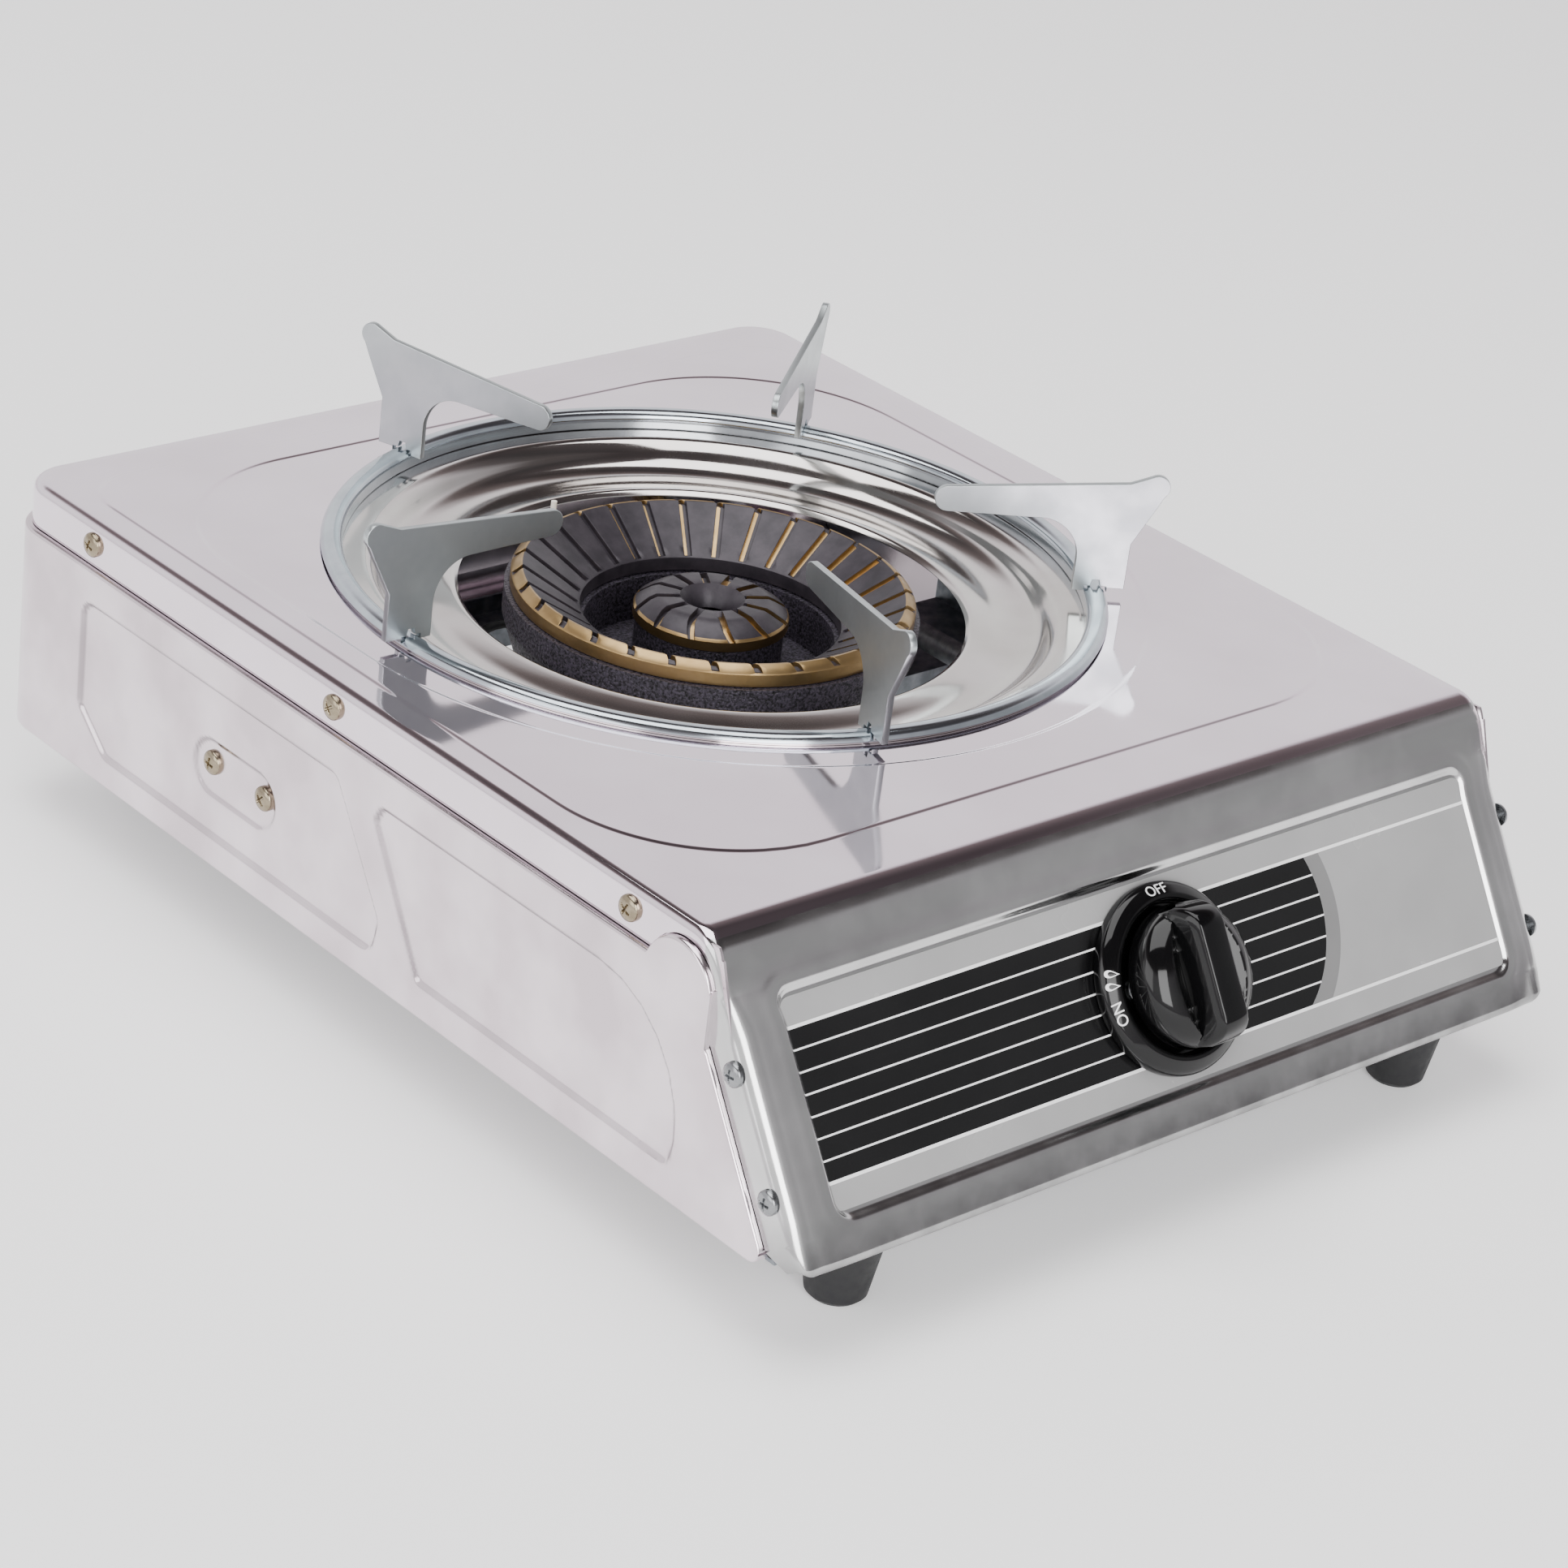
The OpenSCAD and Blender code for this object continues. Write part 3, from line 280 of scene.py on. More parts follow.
def paint_shade_over(finish, colour, share):
    """Mixes a second colour over a finish as painted shade; share is a node's output from 0 to 1."""
    tree = finish.node_tree
    base = tree.nodes["Principled BSDF"].inputs["Base Color"]
    mixed = add_node(tree, "ShaderNodeMix", {"data_type": "RGBA"},
                     {0: share, 6: base.links[0].from_socket, 7: hex_colour(colour)})
    tree.links.new(mixed.outputs[2], base)


def times(tree, one, two):
    return add_node(tree, "ShaderNodeMath", {"operation": "MULTIPLY"}, {0: one, 1: two}).outputs[0]


def painted_low_shade(finish, colour, unshaded_above, full_below):
    """Painted shade: darker in patches near the bottom edge, standing for the dark reflection there; the two
    heights are in metres.
    """
    tree = finish.node_tree
    coords = add_node(tree, "ShaderNodeTexCoord").outputs["Object"]
    height = add_node(tree, "ShaderNodeSeparateXYZ", None, {"Vector": coords}).outputs["Z"]
    edge_share = spread(tree, height, 1.0, 0.0, full_below, unshaded_above)
    patches = spread(tree, noise(tree, coords, 14, 3, 0.6).outputs["Fac"], 0.35, 1.0)
    paint_shade_over(finish, colour, times(tree, edge_share, patches))


def painted_step_shade(finish, colour, strength):
    """Painted shade: the sheet is darkened along its pressed steps, as much as an attribute of the mesh says.
    """
    tree = finish.node_tree
    strain = add_node(tree, "ShaderNodeAttribute", {"attribute_name": "strain"}).outputs["Fac"]
    paint_shade_over(finish, colour, times(tree, strain, strength))


deck_steel = stainless("stainless_sheet_bright_annealed", "#EADFE8", "#E2D6DF", 0.05, 0.10, 0.9, 0.003)
wall_steel = stainless("stainless_sheet_satin", "#E6DBE1", "#CFC3C9", 0.15, 0.26, 0.6, 0.02, 30)
# the front panel is the same sheet as the deck; its greyer, darker colour is painted shade
front_steel_shaded = stainless("stainless_sheet_grey_pressed", "#D2D2D2", "#BEBEBE", 0.11, 0.22, 0.9, 0.008, 26)
# painted shade: the front panel is darker in patches towards its bottom edge
painted_low_shade(front_steel_shaded, "#6A6A6A", 0.040, 0.026)
# painted shade along the upper and side edges of the wall's pressed steps
painted_step_shade(wall_steel, "#5E565B", 0.75)
pan_steel = stainless("stainless_spun_polished", "#CFCBC9", "#BDB8B4", 0.08, 0.14, 1.2, 0.003, 40)
print("sheet finishes:", deck_steel.name, wall_steel.name, front_steel_shaded.name, pan_steel.name)

# %% [markdown]
# Small metal parts: bright zinc plate on the pan support, nickel-plated screws with a brassy cast,
# plain galvanised strip inside, and machined brass.  Zinc shows faint spangles and is softer in
# its reflections than stainless.

# %% Plated and machined metals
def plated(name, light, dark, rough_low, rough_high, size_mm, depth_mm):
    finish, tree, shader, coords = new_finish(name, light, 1.0, rough_low)
    patches = noise(tree, coords, size_mm, 3, 0.6).outputs["Fac"]
    tree.links.new(tint(tree, patches, dark, light), shader.inputs["Base Color"])
    tree.links.new(spread(tree, patches, rough_high, rough_low), shader.inputs["Roughness"])
    bump(tree, shader, noise(tree, coords, size_mm / 6, 2).outputs["Fac"], depth_mm, 0.5)
    return finish


zinc = plated("zinc_plated_steel", "#B4BABB", "#A9AFB1", 0.30, 0.38, 14, 0.012)
ring_zinc = plated("chrome_plated_steel_rolled", "#BCC4CB", "#AEB6BD", 0.10, 0.16, 12, 0.004)
nickel = plated("nickel_plated_screw", "#978C78", "#857A66", 0.20, 0.28, 3, 0.006)
screw_zinc = plated("zinc_plated_screw", "#929496", "#808284", 0.22, 0.30, 3, 0.006)
galvanised = plated("galvanised_strip", "#8F9498", "#767B80", 0.38, 0.55, 6, 0.01)
valve_metal = plated("die_cast_aluminium", "#9FA0A2", "#86888B", 0.40, 0.55, 3, 0.02)
brass = plated("machined_brass", "#A98F66", "#9A8058", 0.30, 0.40, 9, 0.006)
print("plated finishes ready")

# %% [markdown]
# The caps' cone is blackened with heat-proof paint over the brass, in darker and lighter patches.
# The casting below is black enamelled cast iron with a coarse sand skin that sparkles.

# %% Burner finishes
def black_paint_and_slot_shadow():
    # the same black also serves as painted shadow in the cap's slots
    finish, tree, shader, coords = new_finish("heat_proof_black_paint", "#332E35", 0.35, 0.42)
    patches = noise(tree, coords, 7, 4, 0.6).outputs["Fac"]
    tree.links.new(tint(tree, patches, "#29252B", "#3A353B"), shader.inputs["Base Color"])
    bump(tree, shader, noise(tree, coords, 0.7, 3).outputs["Fac"], 0.03, 0.5)
    return finish


def sand_cast_iron():
    finish, tree, shader, coords = new_finish("black_enamelled_sand_cast_iron", "#1C191C", 0.2, 0.4)
    # grains of moulding sand leave pits about 0.8 mm across
    sand = noise(tree, coords, 0.8, 2, 0.6).outputs["Fac"]
    tree.links.new(tint(tree, sand, "#020202", "#4C4652"), shader.inputs["Base Color"])
    tree.links.new(spread(tree, sand, 0.60, 0.26), shader.inputs["Roughness"])
    bump(tree, shader, sand, 0.5, 1.0)
    return finish


cap_black_and_slot_shadow = black_paint_and_slot_shadow()
cast_iron = sand_cast_iron()
print("burner finishes:", cap_black_and_slot_shadow.name, cast_iron.name)

# %% [markdown]
# Plastics: the knob and bezel are gloss black ABS straight from a polished mould, the feet are
# moulded rubber, and the label is a printed film: grey ground, black band, white rules.

# %% Plastics and print
def moulded(name, colour, other, roughness, size_mm, depth_mm, **sockets):
    finish, tree, shader, coords = new_finish(name, colour, 0.0, roughness, **sockets)
    marks = noise(tree, coords, size_mm, 3).outputs["Fac"]
    tree.links.new(tint(tree, marks, other, colour), shader.inputs["Base Color"])
    tree.links.new(spread(tree, marks, roughness * 0.8, roughness * 1.3), shader.inputs["Roughness"])
    bump(tree, shader, noise(tree, coords, size_mm / 4, 2).outputs["Fac"], depth_mm, 0.4)
    return finish


abs_black = moulded("gloss_black_abs_moulded", "#0B0B0C", "#080809", 0.07, 12, 0.003, IOR=1.49,
                    Specular_IOR_Level=0.34)
rubber = moulded("black_rubber_moulded", "#1D1D1F", "#151516", 0.62, 4, 0.05)
print_grey = moulded("label_film_grey", "#9C9C9C", "#969696", 0.22, 25, 0.004)
print_black = moulded("label_ink_black", "#0C0C0D", "#070708", 0.14, 25, 0.004)
print_white = moulded("label_ink_white", "#F4F4F4", "#EEEEEE", 0.30, 25, 0.004)
ceramic = moulded("glazed_alumina", "#EDE8DC", "#E0D9C9", 0.18, 3, 0.01)
print("plastics ready")

# %% [markdown]
# The deck is one pressing.  Seen from the burner, every line on it is a closed loop: the hole, an
# inner bead, an outer bead and the rim.  So the mesh is drawn like a spider's web, with rays from
# the burner and threads that crowd together where a bead has to show.

# %% Rounded outlines and their distance from the burner
def rounded_loop(left, right_edge, front, rear, radii, steps=48):
    """Points round a rectangle with corner radii given as front-left, front-right, rear-right,
    rear-left."""
    corners = [(left, front, 1, 1, 180), (right_edge, front, -1, 1, 270),
               (right_edge, rear, -1, -1, 0), (left, rear, 1, -1, 90)]
    points = []
    for (x, y, sx, sy, start), radius in zip(corners, radii):
        angles = np.radians(start + np.linspace(0, 90, steps))
        points.append(np.stack([x + sx * radius + radius * np.cos(angles),
                                y + sy * radius + radius * np.sin(angles)], -1))
    return np.concatenate(points)


def reach_table(loop):
    """Angle and distance of a loop's points as seen from the burner's axis."""
    closed = np.concatenate([loop, loop[:1]])
    fine = np.concatenate([np.linspace(a, b, 40, endpoint=False) for a, b in zip(closed[:-1], closed[1:])])
    angle = np.arctan2(fine[:, 1] - burner_y, fine[:, 0])
    order = np.argsort(angle)
    return angle[order], np.hypot(fine[:, 0], fine[:, 1] - burner_y)[order]


def reach(table, angle):
    return np.interp(angle, table[0], table[1], period=2 * math.pi)


inner_bead = reach_table(rounded_loop(-126.5, 126.5, burner_y - 126.5, 290, (126, 126, 57, 57)))
outer_bead = reach_table(rounded_loop(-134.5, 134.5, 24.3, 301, (50, 50, 18, 18)))
print("inner bead is", round(float(inner_bead[1].min()), 1), "mm or more from the burner's axis")


# %% [markdown]
# Where the deck ends, the sheet turns over a small radius and hangs down as a skirt.  The same
# rule serves the folded edges of the front panel, so one function gives the section of both.

# %% Edge section and the notch at the corner
SKIRT = 13.0
FLANGE = 11.5
BEND_R = 11.0
NOTCH_AT = (8.0, deck_z - 17.4)
NOTCH_R = 13.2
ARC_STEPS, DROP_STEPS = 7, 5


def edge_section(radius, depth):
    """Sideways and inward distances from the last flat point, round the edge and down."""
    arc = np.linspace(0, math.pi / 2, ARC_STEPS + 1)[1:]
    down = np.linspace(0, 1, DROP_STEPS + 1)[1:]
    side = np.concatenate([radius * np.sin(arc), np.full(DROP_STEPS, radius)])
    depth = max(depth, radius + 0.05)
    inward = np.concatenate([radius * (1 - np.cos(arc)), radius + (depth - radius) * down])
    return side, inward


def depth_to_notch(y, z, normal, depth):
    """How far the fold can run before it meets the round notch."""
    to_notch = np.array([y - NOTCH_AT[0], z - NOTCH_AT[1]])
    along = float(np.dot(to_notch, normal))
    inside = along ** 2 - (float(to_notch @ to_notch) - NOTCH_R ** 2)
    if inside <= 0:
        return depth
    entry = along - math.sqrt(inside)
    leave = along + math.sqrt(inside)
    return min(depth, entry) if entry > 0 and leave > 0 else depth


# %% Stations across the front panel
RECESS_HALF, RECESS_TOP, RECESS_BASE, RECESS_R = cover_half - 14, 18.5, front_len - 14, 5.0
FRONT_EDGE_R = 6.0
BASE_R = 2.6
FRONT_CORNER = 12.0
PILLOW = 1.5
bend_start = BEND_R * math.tan((math.pi / 2 - LEAN) / 2)


def crowd(around, reach_mm=4.0, count=15):
    """Stations packed near a bead."""
    t = np.linspace(-1, 1, count)
    return around + reach_mm * np.sign(t) * np.abs(t) ** 1.3


half_columns = np.unique(np.round(np.concatenate([
    np.linspace(0, RECESS_HALF - 12, 16), np.linspace(RECESS_HALF - 12, RECESS_HALF - 4, 7),
    crowd(RECESS_HALF, 4.0), np.linspace(RECESS_HALF + 4, cover_half - 3, 7)]), 4))
columns = np.concatenate([-half_columns[::-1], half_columns[1:]])
print(len(columns), "stations across the front")


# %% The front panel: bend, slope, recess and folded edges
def soft_step(distance, width):
    """0 outside, 1 inside, with a smooth shoulder of this width."""
    t = np.clip(distance / width + 0.5, 0, 1)
    return t * t * (3 - 2 * t)


def box_distance(x, y, half_x, half_y, radius):
    """Signed distance into a rounded rectangle centred on zero; positive inside."""
    qx, qy = np.abs(x) - half_x + radius, np.abs(y) - half_y + radius
    outside = np.hypot(np.maximum(qx, 0), np.maximum(qy, 0)) + np.minimum(np.maximum(qx, qy), 0)
    return radius - outside


def front_profile():
    """Side view of the fold: point, outward normal and distance down the slope for each row."""
    centre = np.array([bend_start, deck_z - BEND_R])
    rows = []
    for angle in np.radians(np.linspace(90, 147, 15)):
        normal = np.array([math.cos(angle), math.sin(angle)])
        rows.append((centre + BEND_R * normal, normal, 0.0))
    normal = slope_out = np.array([-COS, SIN])
    base_tangent = BASE_R * math.tan(math.radians(61.5))
    slope = np.unique(np.round(np.concatenate([
        np.linspace(bend_start, RECESS_TOP - 4, 8), crowd(RECESS_TOP),
        np.linspace(RECESS_TOP + 4, RECESS_BASE - 4, 40),
        crowd(RECESS_BASE, 3.0), [front_len - base_tangent]]), 4))
    for s in slope[1:]:
        rows.append((np.array([-s * SIN, deck_z - s * COS]), normal, s))
    start = np.array([-slope[-1] * SIN, deck_z - slope[-1] * COS])
    centre = start - BASE_R * normal
    for angle in np.radians(147 + np.linspace(0, 123, 13)[1:]):
        normal = np.array([math.cos(angle), math.sin(angle)])
        rows.append((centre + BASE_R * normal, normal, front_len))
    last = rows[-1]
    for extra in (2.0, 4.0):
        rows.append((last[0] + [extra, 0], last[1], front_len))
    return rows, slope_out, slope[-1]


def panel_relief(across, down):
    """Height of the front face: a soft cushion, a bead, and the recess inside it."""
    inside = box_distance(across, down - (RECESS_TOP + RECESS_BASE) / 2, RECESS_HALF,
                          (RECESS_BASE - RECESS_TOP) / 2, RECESS_R)
    recess = -1.2 * soft_step(inside + 0.2, 2.4) + 0.35 * np.exp(-((inside + 3.2) / 2.2) ** 2)
    cushion = -PILLOW * np.clip(-(inside + 3) / 10, 0, 1.2) ** 2
    fade = np.clip((down - bend_start) / 10, 0, 1)
    return recess * min(1.0, float(fade) * 3) + cushion * float(fade) ** 2


def front_grid():
    rows, slope_out, slope_end = front_profile()
    lengths = np.cumsum([0] + [np.linalg.norm(b[0] - a[0]) for a, b in zip(rows[:-1], rows[1:])])
    end = lengths[-1] - 4
    grid = []
    for (point, normal, s), run in zip(rows, lengths):
        t = np.clip((s - 12) / 16, 0, 1) if s > 0 else 0.0
        radius = 3 + (FRONT_EDGE_R - 3) * t * t * (3 - 2 * t)
        pull = min(max(0.0, run - (end - FRONT_CORNER)), FRONT_CORNER)
        radius += (2.4 - radius) * (pull / FRONT_CORNER) ** 0.7
        shrink = FRONT_CORNER - math.sqrt(FRONT_CORNER ** 2 - (pull * 0.93) ** 2)
        flat = cover_half - radius - shrink
        x = columns * (flat / (cover_half - 3))
        relief = panel_relief(columns, min(s, slope_end)) if s > bend_start else np.zeros(len(columns))
        on_slope_face = s <= slope_end
        room = (point[1] - front_bottom) / SIN if on_slope_face else 0.0
        depth = depth_to_notch(point[0], point[1], normal, min(FLANGE, room))
        side, inward = edge_section(radius, depth)
        across = np.concatenate([-(flat + side[::-1]), x, flat + side])
        inset = np.concatenate([inward[::-1], np.zeros(len(x)), inward])
        drop = np.concatenate([np.full(len(side), relief[0]), relief, np.full(len(side), relief[-1])])
        drop *= 1 - np.clip((inset - radius) / 3, 0, 1)
        raise_by = slope_out if s > 0 else normal
        grid.append(np.stack([across, point[0] - inset * normal[0] + drop * raise_by[0],
                              point[1] - inset * normal[1] + drop * raise_by[1]], -1))
    return np.array(grid)


front_points = front_grid()
print("front panel grid", front_points.shape[:2])

# %% The deck: rays from the burner, threads at the beads
HOLE_R = 111.0
STEP_H, STEP_WIDTH = 0.26, 1.9
BEAD = np.array([-1.3, -0.9, -0.6, -0.35, -0.12, 0.12, 0.35, 0.6, 0.9, 1.3])


def rim_samples():
    """Points where the flat deck ends, with the outward normal of the edge, from the front left
    corner round the back to the front right corner."""
    flat, corner = cover_half - 3, 11.0
    rear = DECK_DEPTH - 3
    side = np.concatenate([np.linspace(bend_start, 24, 24), np.linspace(24, rear - corner, 90)[1:]])

    def turn_corner(centre_x, begin, end):
        for angle in np.radians(np.linspace(begin, end, 14)[1:]):
            nx, ny = math.cos(angle), math.sin(angle)
            points.append((centre_x + corner * nx, rear - corner + corner * ny, nx, ny))

    points = [(-flat, y, -1, 0) for y in side]
    turn_corner(-flat + corner, 180, 90)
    points += [(x, rear, 0, 1) for x in np.linspace(-flat + corner, flat - corner, 90)[1:]]
    turn_corner(flat - corner, 90, 0)
    points += [(flat, y, 1, 0) for y in side[::-1][1:]]
    return np.array(points)


def deck_grids():
    rim = rim_samples()
    front_line = np.stack([columns[::-1], np.full(len(columns), bend_start)], -1)[1:-1]
    ends = np.concatenate([rim[:, :2], front_line])
    angle = np.arctan2(ends[:, 1] - burner_y, ends[:, 0])
    far = np.hypot(ends[:, 0], ends[:, 1] - burner_y)
    first, second = reach(inner_bead, angle), reach(outer_bead, angle)
    threads, heights = [], []

    def between(a, b, shares, height):
        for share in shares:
            threads.append(a + (b - a) * share)
            heights.append(np.full(len(angle), height))

    between(np.full(len(angle), HOLE_R), first + BEAD[0], [0, 0.25, 0.5, 0.75], 0.0)
    for offset in BEAD:
        threads.append(first + offset)
        heights.append(np.full(len(angle), STEP_H * float(soft_step(offset, STEP_WIDTH))))
    between(first + BEAD[-1], second + BEAD[0], [0.25, 0.5, 0.75], STEP_H)
    for offset in BEAD:
        threads.append(second + offset)
        heights.append(np.full(len(angle), STEP_H * (1 - float(soft_step(offset, STEP_WIDTH)))))
    between(second + BEAD[-1], far, [0.2, 0.4, 0.6, 0.8, 1.0], 0.0)
    distance, height = np.array(threads), np.array(heights)
    deck = np.stack([distance * np.cos(angle), burner_y + distance * np.sin(angle), deck_z + height], -1)
    skirt = []
    for x, y, nx, ny in rim:
        limit = SKIRT
        if y < NOTCH_AT[0] + NOTCH_R and abs(nx) > 0.99:
            rise = NOTCH_R ** 2 - (y - NOTCH_AT[0]) ** 2
            limit = min(SKIRT, deck_z - NOTCH_AT[1] - math.sqrt(max(rise, 0)))
        side, inward = edge_section(3.0, limit)
        side, inward = np.insert(side, 0, 0), np.insert(inward, 0, 0)
        skirt.append(np.stack([x + nx * side, y + ny * side, deck_z - inward], -1))
    return deck, np.array(skirt)


deck_points, skirt_points = deck_grids()
print("deck grid", deck_points.shape[:2], "skirt grid", skirt_points.shape[:2])

# %% Join the grids into one pressing with its thickness
def join_grids(name, grids):
    points, faces, count = [], [], 0
    for grid, closed in grids:
        rows, cols = grid.shape[:2]
        points.append(grid.reshape(-1, 3))
        faces.append(sheet_faces(rows, cols, closed) + count)
        count += rows * cols
    return new_mesh(name, np.concatenate(points), np.concatenate(faces))


def give_thickness(made, thickness, outward_up):
    """Turns the sheet's faces to the outside, then thickens it inwards."""
    work = edit_mesh(made)
    bmesh.ops.remove_doubles(work, verts=work.verts, dist=2e-5)
    bmesh.ops.recalc_face_normals(work, faces=work.faces)
    probe = max(work.faces, key=lambda f: f.calc_center_median() @ outward_up)
    if probe.normal @ outward_up < 0:
        bmesh.ops.reverse_faces(work, faces=work.faces)
    save_mesh(work, made)
    solid = made.modifiers.new("thickness", "SOLIDIFY")
    solid.thickness = thickness * MM
    solid.offset = -1
    solid.use_even_offset = False
    made.data.shade_smooth()
    freeze(made)
    made.data.set_sharp_from_angle(angle=math.radians(40))
    return made


pressing = join_grids("cover_pressing", [(deck_points, True), (skirt_points, False), (front_points, False)])
give_thickness(pressing, SHEET, Vector((0, 0, 1)))
pressing.data.materials.append(deck_steel)
# the second finish, for the front panel, carries painted shade
pressing.data.materials.append(front_steel_shaded)
bend_line = (bend_y + bend_start - 5.0) * MM
for face in pressing.data.polygons:
    if face.center.y < bend_line and face.center.z < (deck_z - 1.6) * MM:
        face.material_index = 1
finish_piece(pressing, "chassis", "stainless", "top_cover")

# %% [markdown]
# The walls are satin sheet with shallow panels pressed inwards, which stop them from drumming.
# Each wall is a grid of upright columns: their feet stand on the bottom fold, and their heads
# follow the slanted front, the round hump behind the notch, and the straight edge under the skirt.

# %% Outlines pressed into a wall
def polygon_distance(y, z, outline, radius):
    """Signed distance into a convex outline with rounded corners; positive inside."""
    outline = np.asarray(outline, float)
    near = np.full(y.shape, 1e9)
    inside = np.full(y.shape, True)
    shrunk = shrink_outline(outline, radius)
    for a, b in zip(shrunk, np.roll(shrunk, -1, axis=0)):
        edge = b - a
        t = np.clip(((y - a[0]) * edge[0] + (z - a[1]) * edge[1]) / (edge @ edge), 0, 1)
        near = np.minimum(near, np.hypot(y - a[0] - t * edge[0], z - a[1] - t * edge[1]))
        inside &= (edge[0] * (z - a[1]) - edge[1] * (y - a[0])) >= 0
    return np.where(inside, near, -near) + radius


def shrink_outline(outline, radius):
    """Moves each edge of a convex counterclockwise outline inwards."""
    moved = []
    n = len(outline)
    for i in range(n):
        before, here, after = outline[i - 1], outline[i], outline[(i + 1) % n]
        u, v = (here - before) / np.linalg.norm(here - before), (after - here) / np.linalg.norm(after - here)
        nu, nv = np.array([-u[1], u[0]]), np.array([-v[1], v[0]])
        moved.append(here + (nu + nv) * radius / (1 + float(nu @ nv)))
    return np.array(moved)


def arc_corner(centre, radius, start, stop, steps=7):
    angles = np.radians(np.linspace(start, stop, steps))
    return [(centre[0] + radius * math.cos(a), centre[1] + radius * math.sin(a)) for a in angles]


REAR_PANEL = [(262, 34.5), (276, 46), (276, 79.2), (152, 79.2), (129, 45), (131, 34.5)][::-1]
FRONT_PANEL = ([(133.5, 74), (110, 35.5)] + [(4, 35.5)] + arc_corner((38, 43), 35.5, 180, 90) + [(131, 78.6)])
BOSS_AT, BOSS_HALF = (199.4, 54.5), (19.3, 8.4)
PRESS_DEPTH = 1.3
BOSS_SHARE = 0.7
BOSS_DEPTH = (1 + BOSS_SHARE) * PRESS_DEPTH


def counterclockwise(outline):
    outline = np.asarray(outline, float)
    x, y = outline.T
    area = np.sum(x * np.roll(y, -1) - np.roll(x, -1) * y)
    return outline if area > 0 else outline[::-1]


REAR_PANEL, FRONT_PANEL = counterclockwise(REAR_PANEL), counterclockwise(FRONT_PANEL)


def wall_relief(y, z):
    """How far the pressed shapes sink into the wall, as a negative height."""
    rear = soft_step(polygon_distance(y, z, REAR_PANEL, 4.5), 1.7)
    front = soft_step(polygon_distance(y, z, FRONT_PANEL, 2.5), 1.7)
    boss = soft_step(box_distance(y - BOSS_AT[0], z - BOSS_AT[1], *BOSS_HALF, BOSS_HALF[1] - 0.01), 1.6)
    return -PRESS_DEPTH * (rear + front + BOSS_SHARE * boss)


print("wall panels drawn")

# %% Wall columns
wall_low, wall_high = from_box("left_side_panel")
wall_half = -wall_low.x
wall_bottom, wall_rear = wall_low.z, wall_high.y
wall_top = deck_z - SKIRT - 0.3
HUMP_R = NOTCH_R - 0.3
WALL_CORNER = 16.0
RETURN_X = wall_half - 26
WALL_ROWS = 84
SIDE_CORNER = 9.0
TUCK_IN = 3.1
wedge_y = (FLANGE + 0.3) / COS - (deck_z - wall_bottom) * math.tan(LEAN)
NOSE_R = 4.0
nose_y = wedge_y + NOSE_R / math.tan((math.pi / 2 - LEAN) / 2)


def corner_rise(distance, radius):
    """Height of a quarter round at a distance into it."""
    return math.sqrt(max(0.0, radius ** 2 - distance ** 2))


def wall_head(y):
    """Height of the wall's top edge at a distance y behind the bend."""
    slanted = deck_z - ((FLANGE + 0.3) / COS - y) / math.tan(LEAN)
    if y < nose_y - NOSE_R * COS:
        return wall_bottom + NOSE_R + corner_rise(y - nose_y, NOSE_R)
    hump = NOTCH_AT[1] + math.sqrt(max(0.0, HUMP_R ** 2 - (y - NOTCH_AT[0]) ** 2))
    if y < NOTCH_AT[0] - HUMP_R:
        return slanted
    return max(wall_top, hump) if y < NOTCH_AT[0] + HUMP_R else wall_top


def wall_foot(y):
    """Height of the wall's bottom edge, with its rounded corners front and rear."""
    if y < nose_y:
        return wall_bottom + NOSE_R - corner_rise(nose_y - y, NOSE_R)
    return wall_bottom + SIDE_CORNER - corner_rise(max(y - (wall_rear - SIDE_CORNER), 0.0), SIDE_CORNER)


def wall_path():
    """Stations along the wall: place, outward normal, how far along Y the relief is read."""
    front = nose_y - NOSE_R + 0.02
    hump = NOTCH_AT[0] - HUMP_R
    ys = np.concatenate([front + (hump - 0.02 - front) * np.linspace(0, 1, 60) ** 1.5,
                         hump + HUMP_R * (1 - np.cos(np.linspace(0.03, math.pi, 34))),
                         np.linspace(hump + 2 * HUMP_R + 0.6, wall_rear - WALL_CORNER, 330)])
    stations = [(-wall_half, y, -1.0, 0.0, wall_head(y)) for y in ys]
    centre = (-wall_half + WALL_CORNER, wall_rear - WALL_CORNER)
    for angle in np.radians(np.linspace(180, 90, 18)[1:]):
        nx, ny = math.cos(angle), math.sin(angle)
        stations.append((centre[0] + WALL_CORNER * nx, centre[1] + WALL_CORNER * ny, nx, ny, wall_top))
    for x in np.linspace(centre[0], -RETURN_X, 8)[1:]:
        stations.append((x, wall_rear, 0.0, 1.0, wall_top))
    return stations


def wall_step_shade(y, z):
    """How much painted shade a point of the pressing gets: how steeply the pressing falls, more on its upper
    and side edges, less on its lower edges.
    """
    step = 0.15
    up = (wall_relief(y, z + step) - wall_relief(y, z - step)) / (2 * step)
    along = (wall_relief(y + step, z) - wall_relief(y - step, z)) / (2 * step)
    return np.clip(1.1 * np.maximum(up, 0) + 0.8 * np.abs(along) - 0.4 * np.maximum(-up, 0), -0.4, 1)


def wall_tongue(y, head, base):
    """Direction and length of the strip that runs up behind the cover's folded edge."""
    if y < NOTCH_AT[0] - HUMP_R:
        return np.array([0.0, -COS, SIN]), min(8.0, head - base)
    return np.array([0.0, 0.0, 1.0]), min(8.0, deck_z - 2.4 - head)


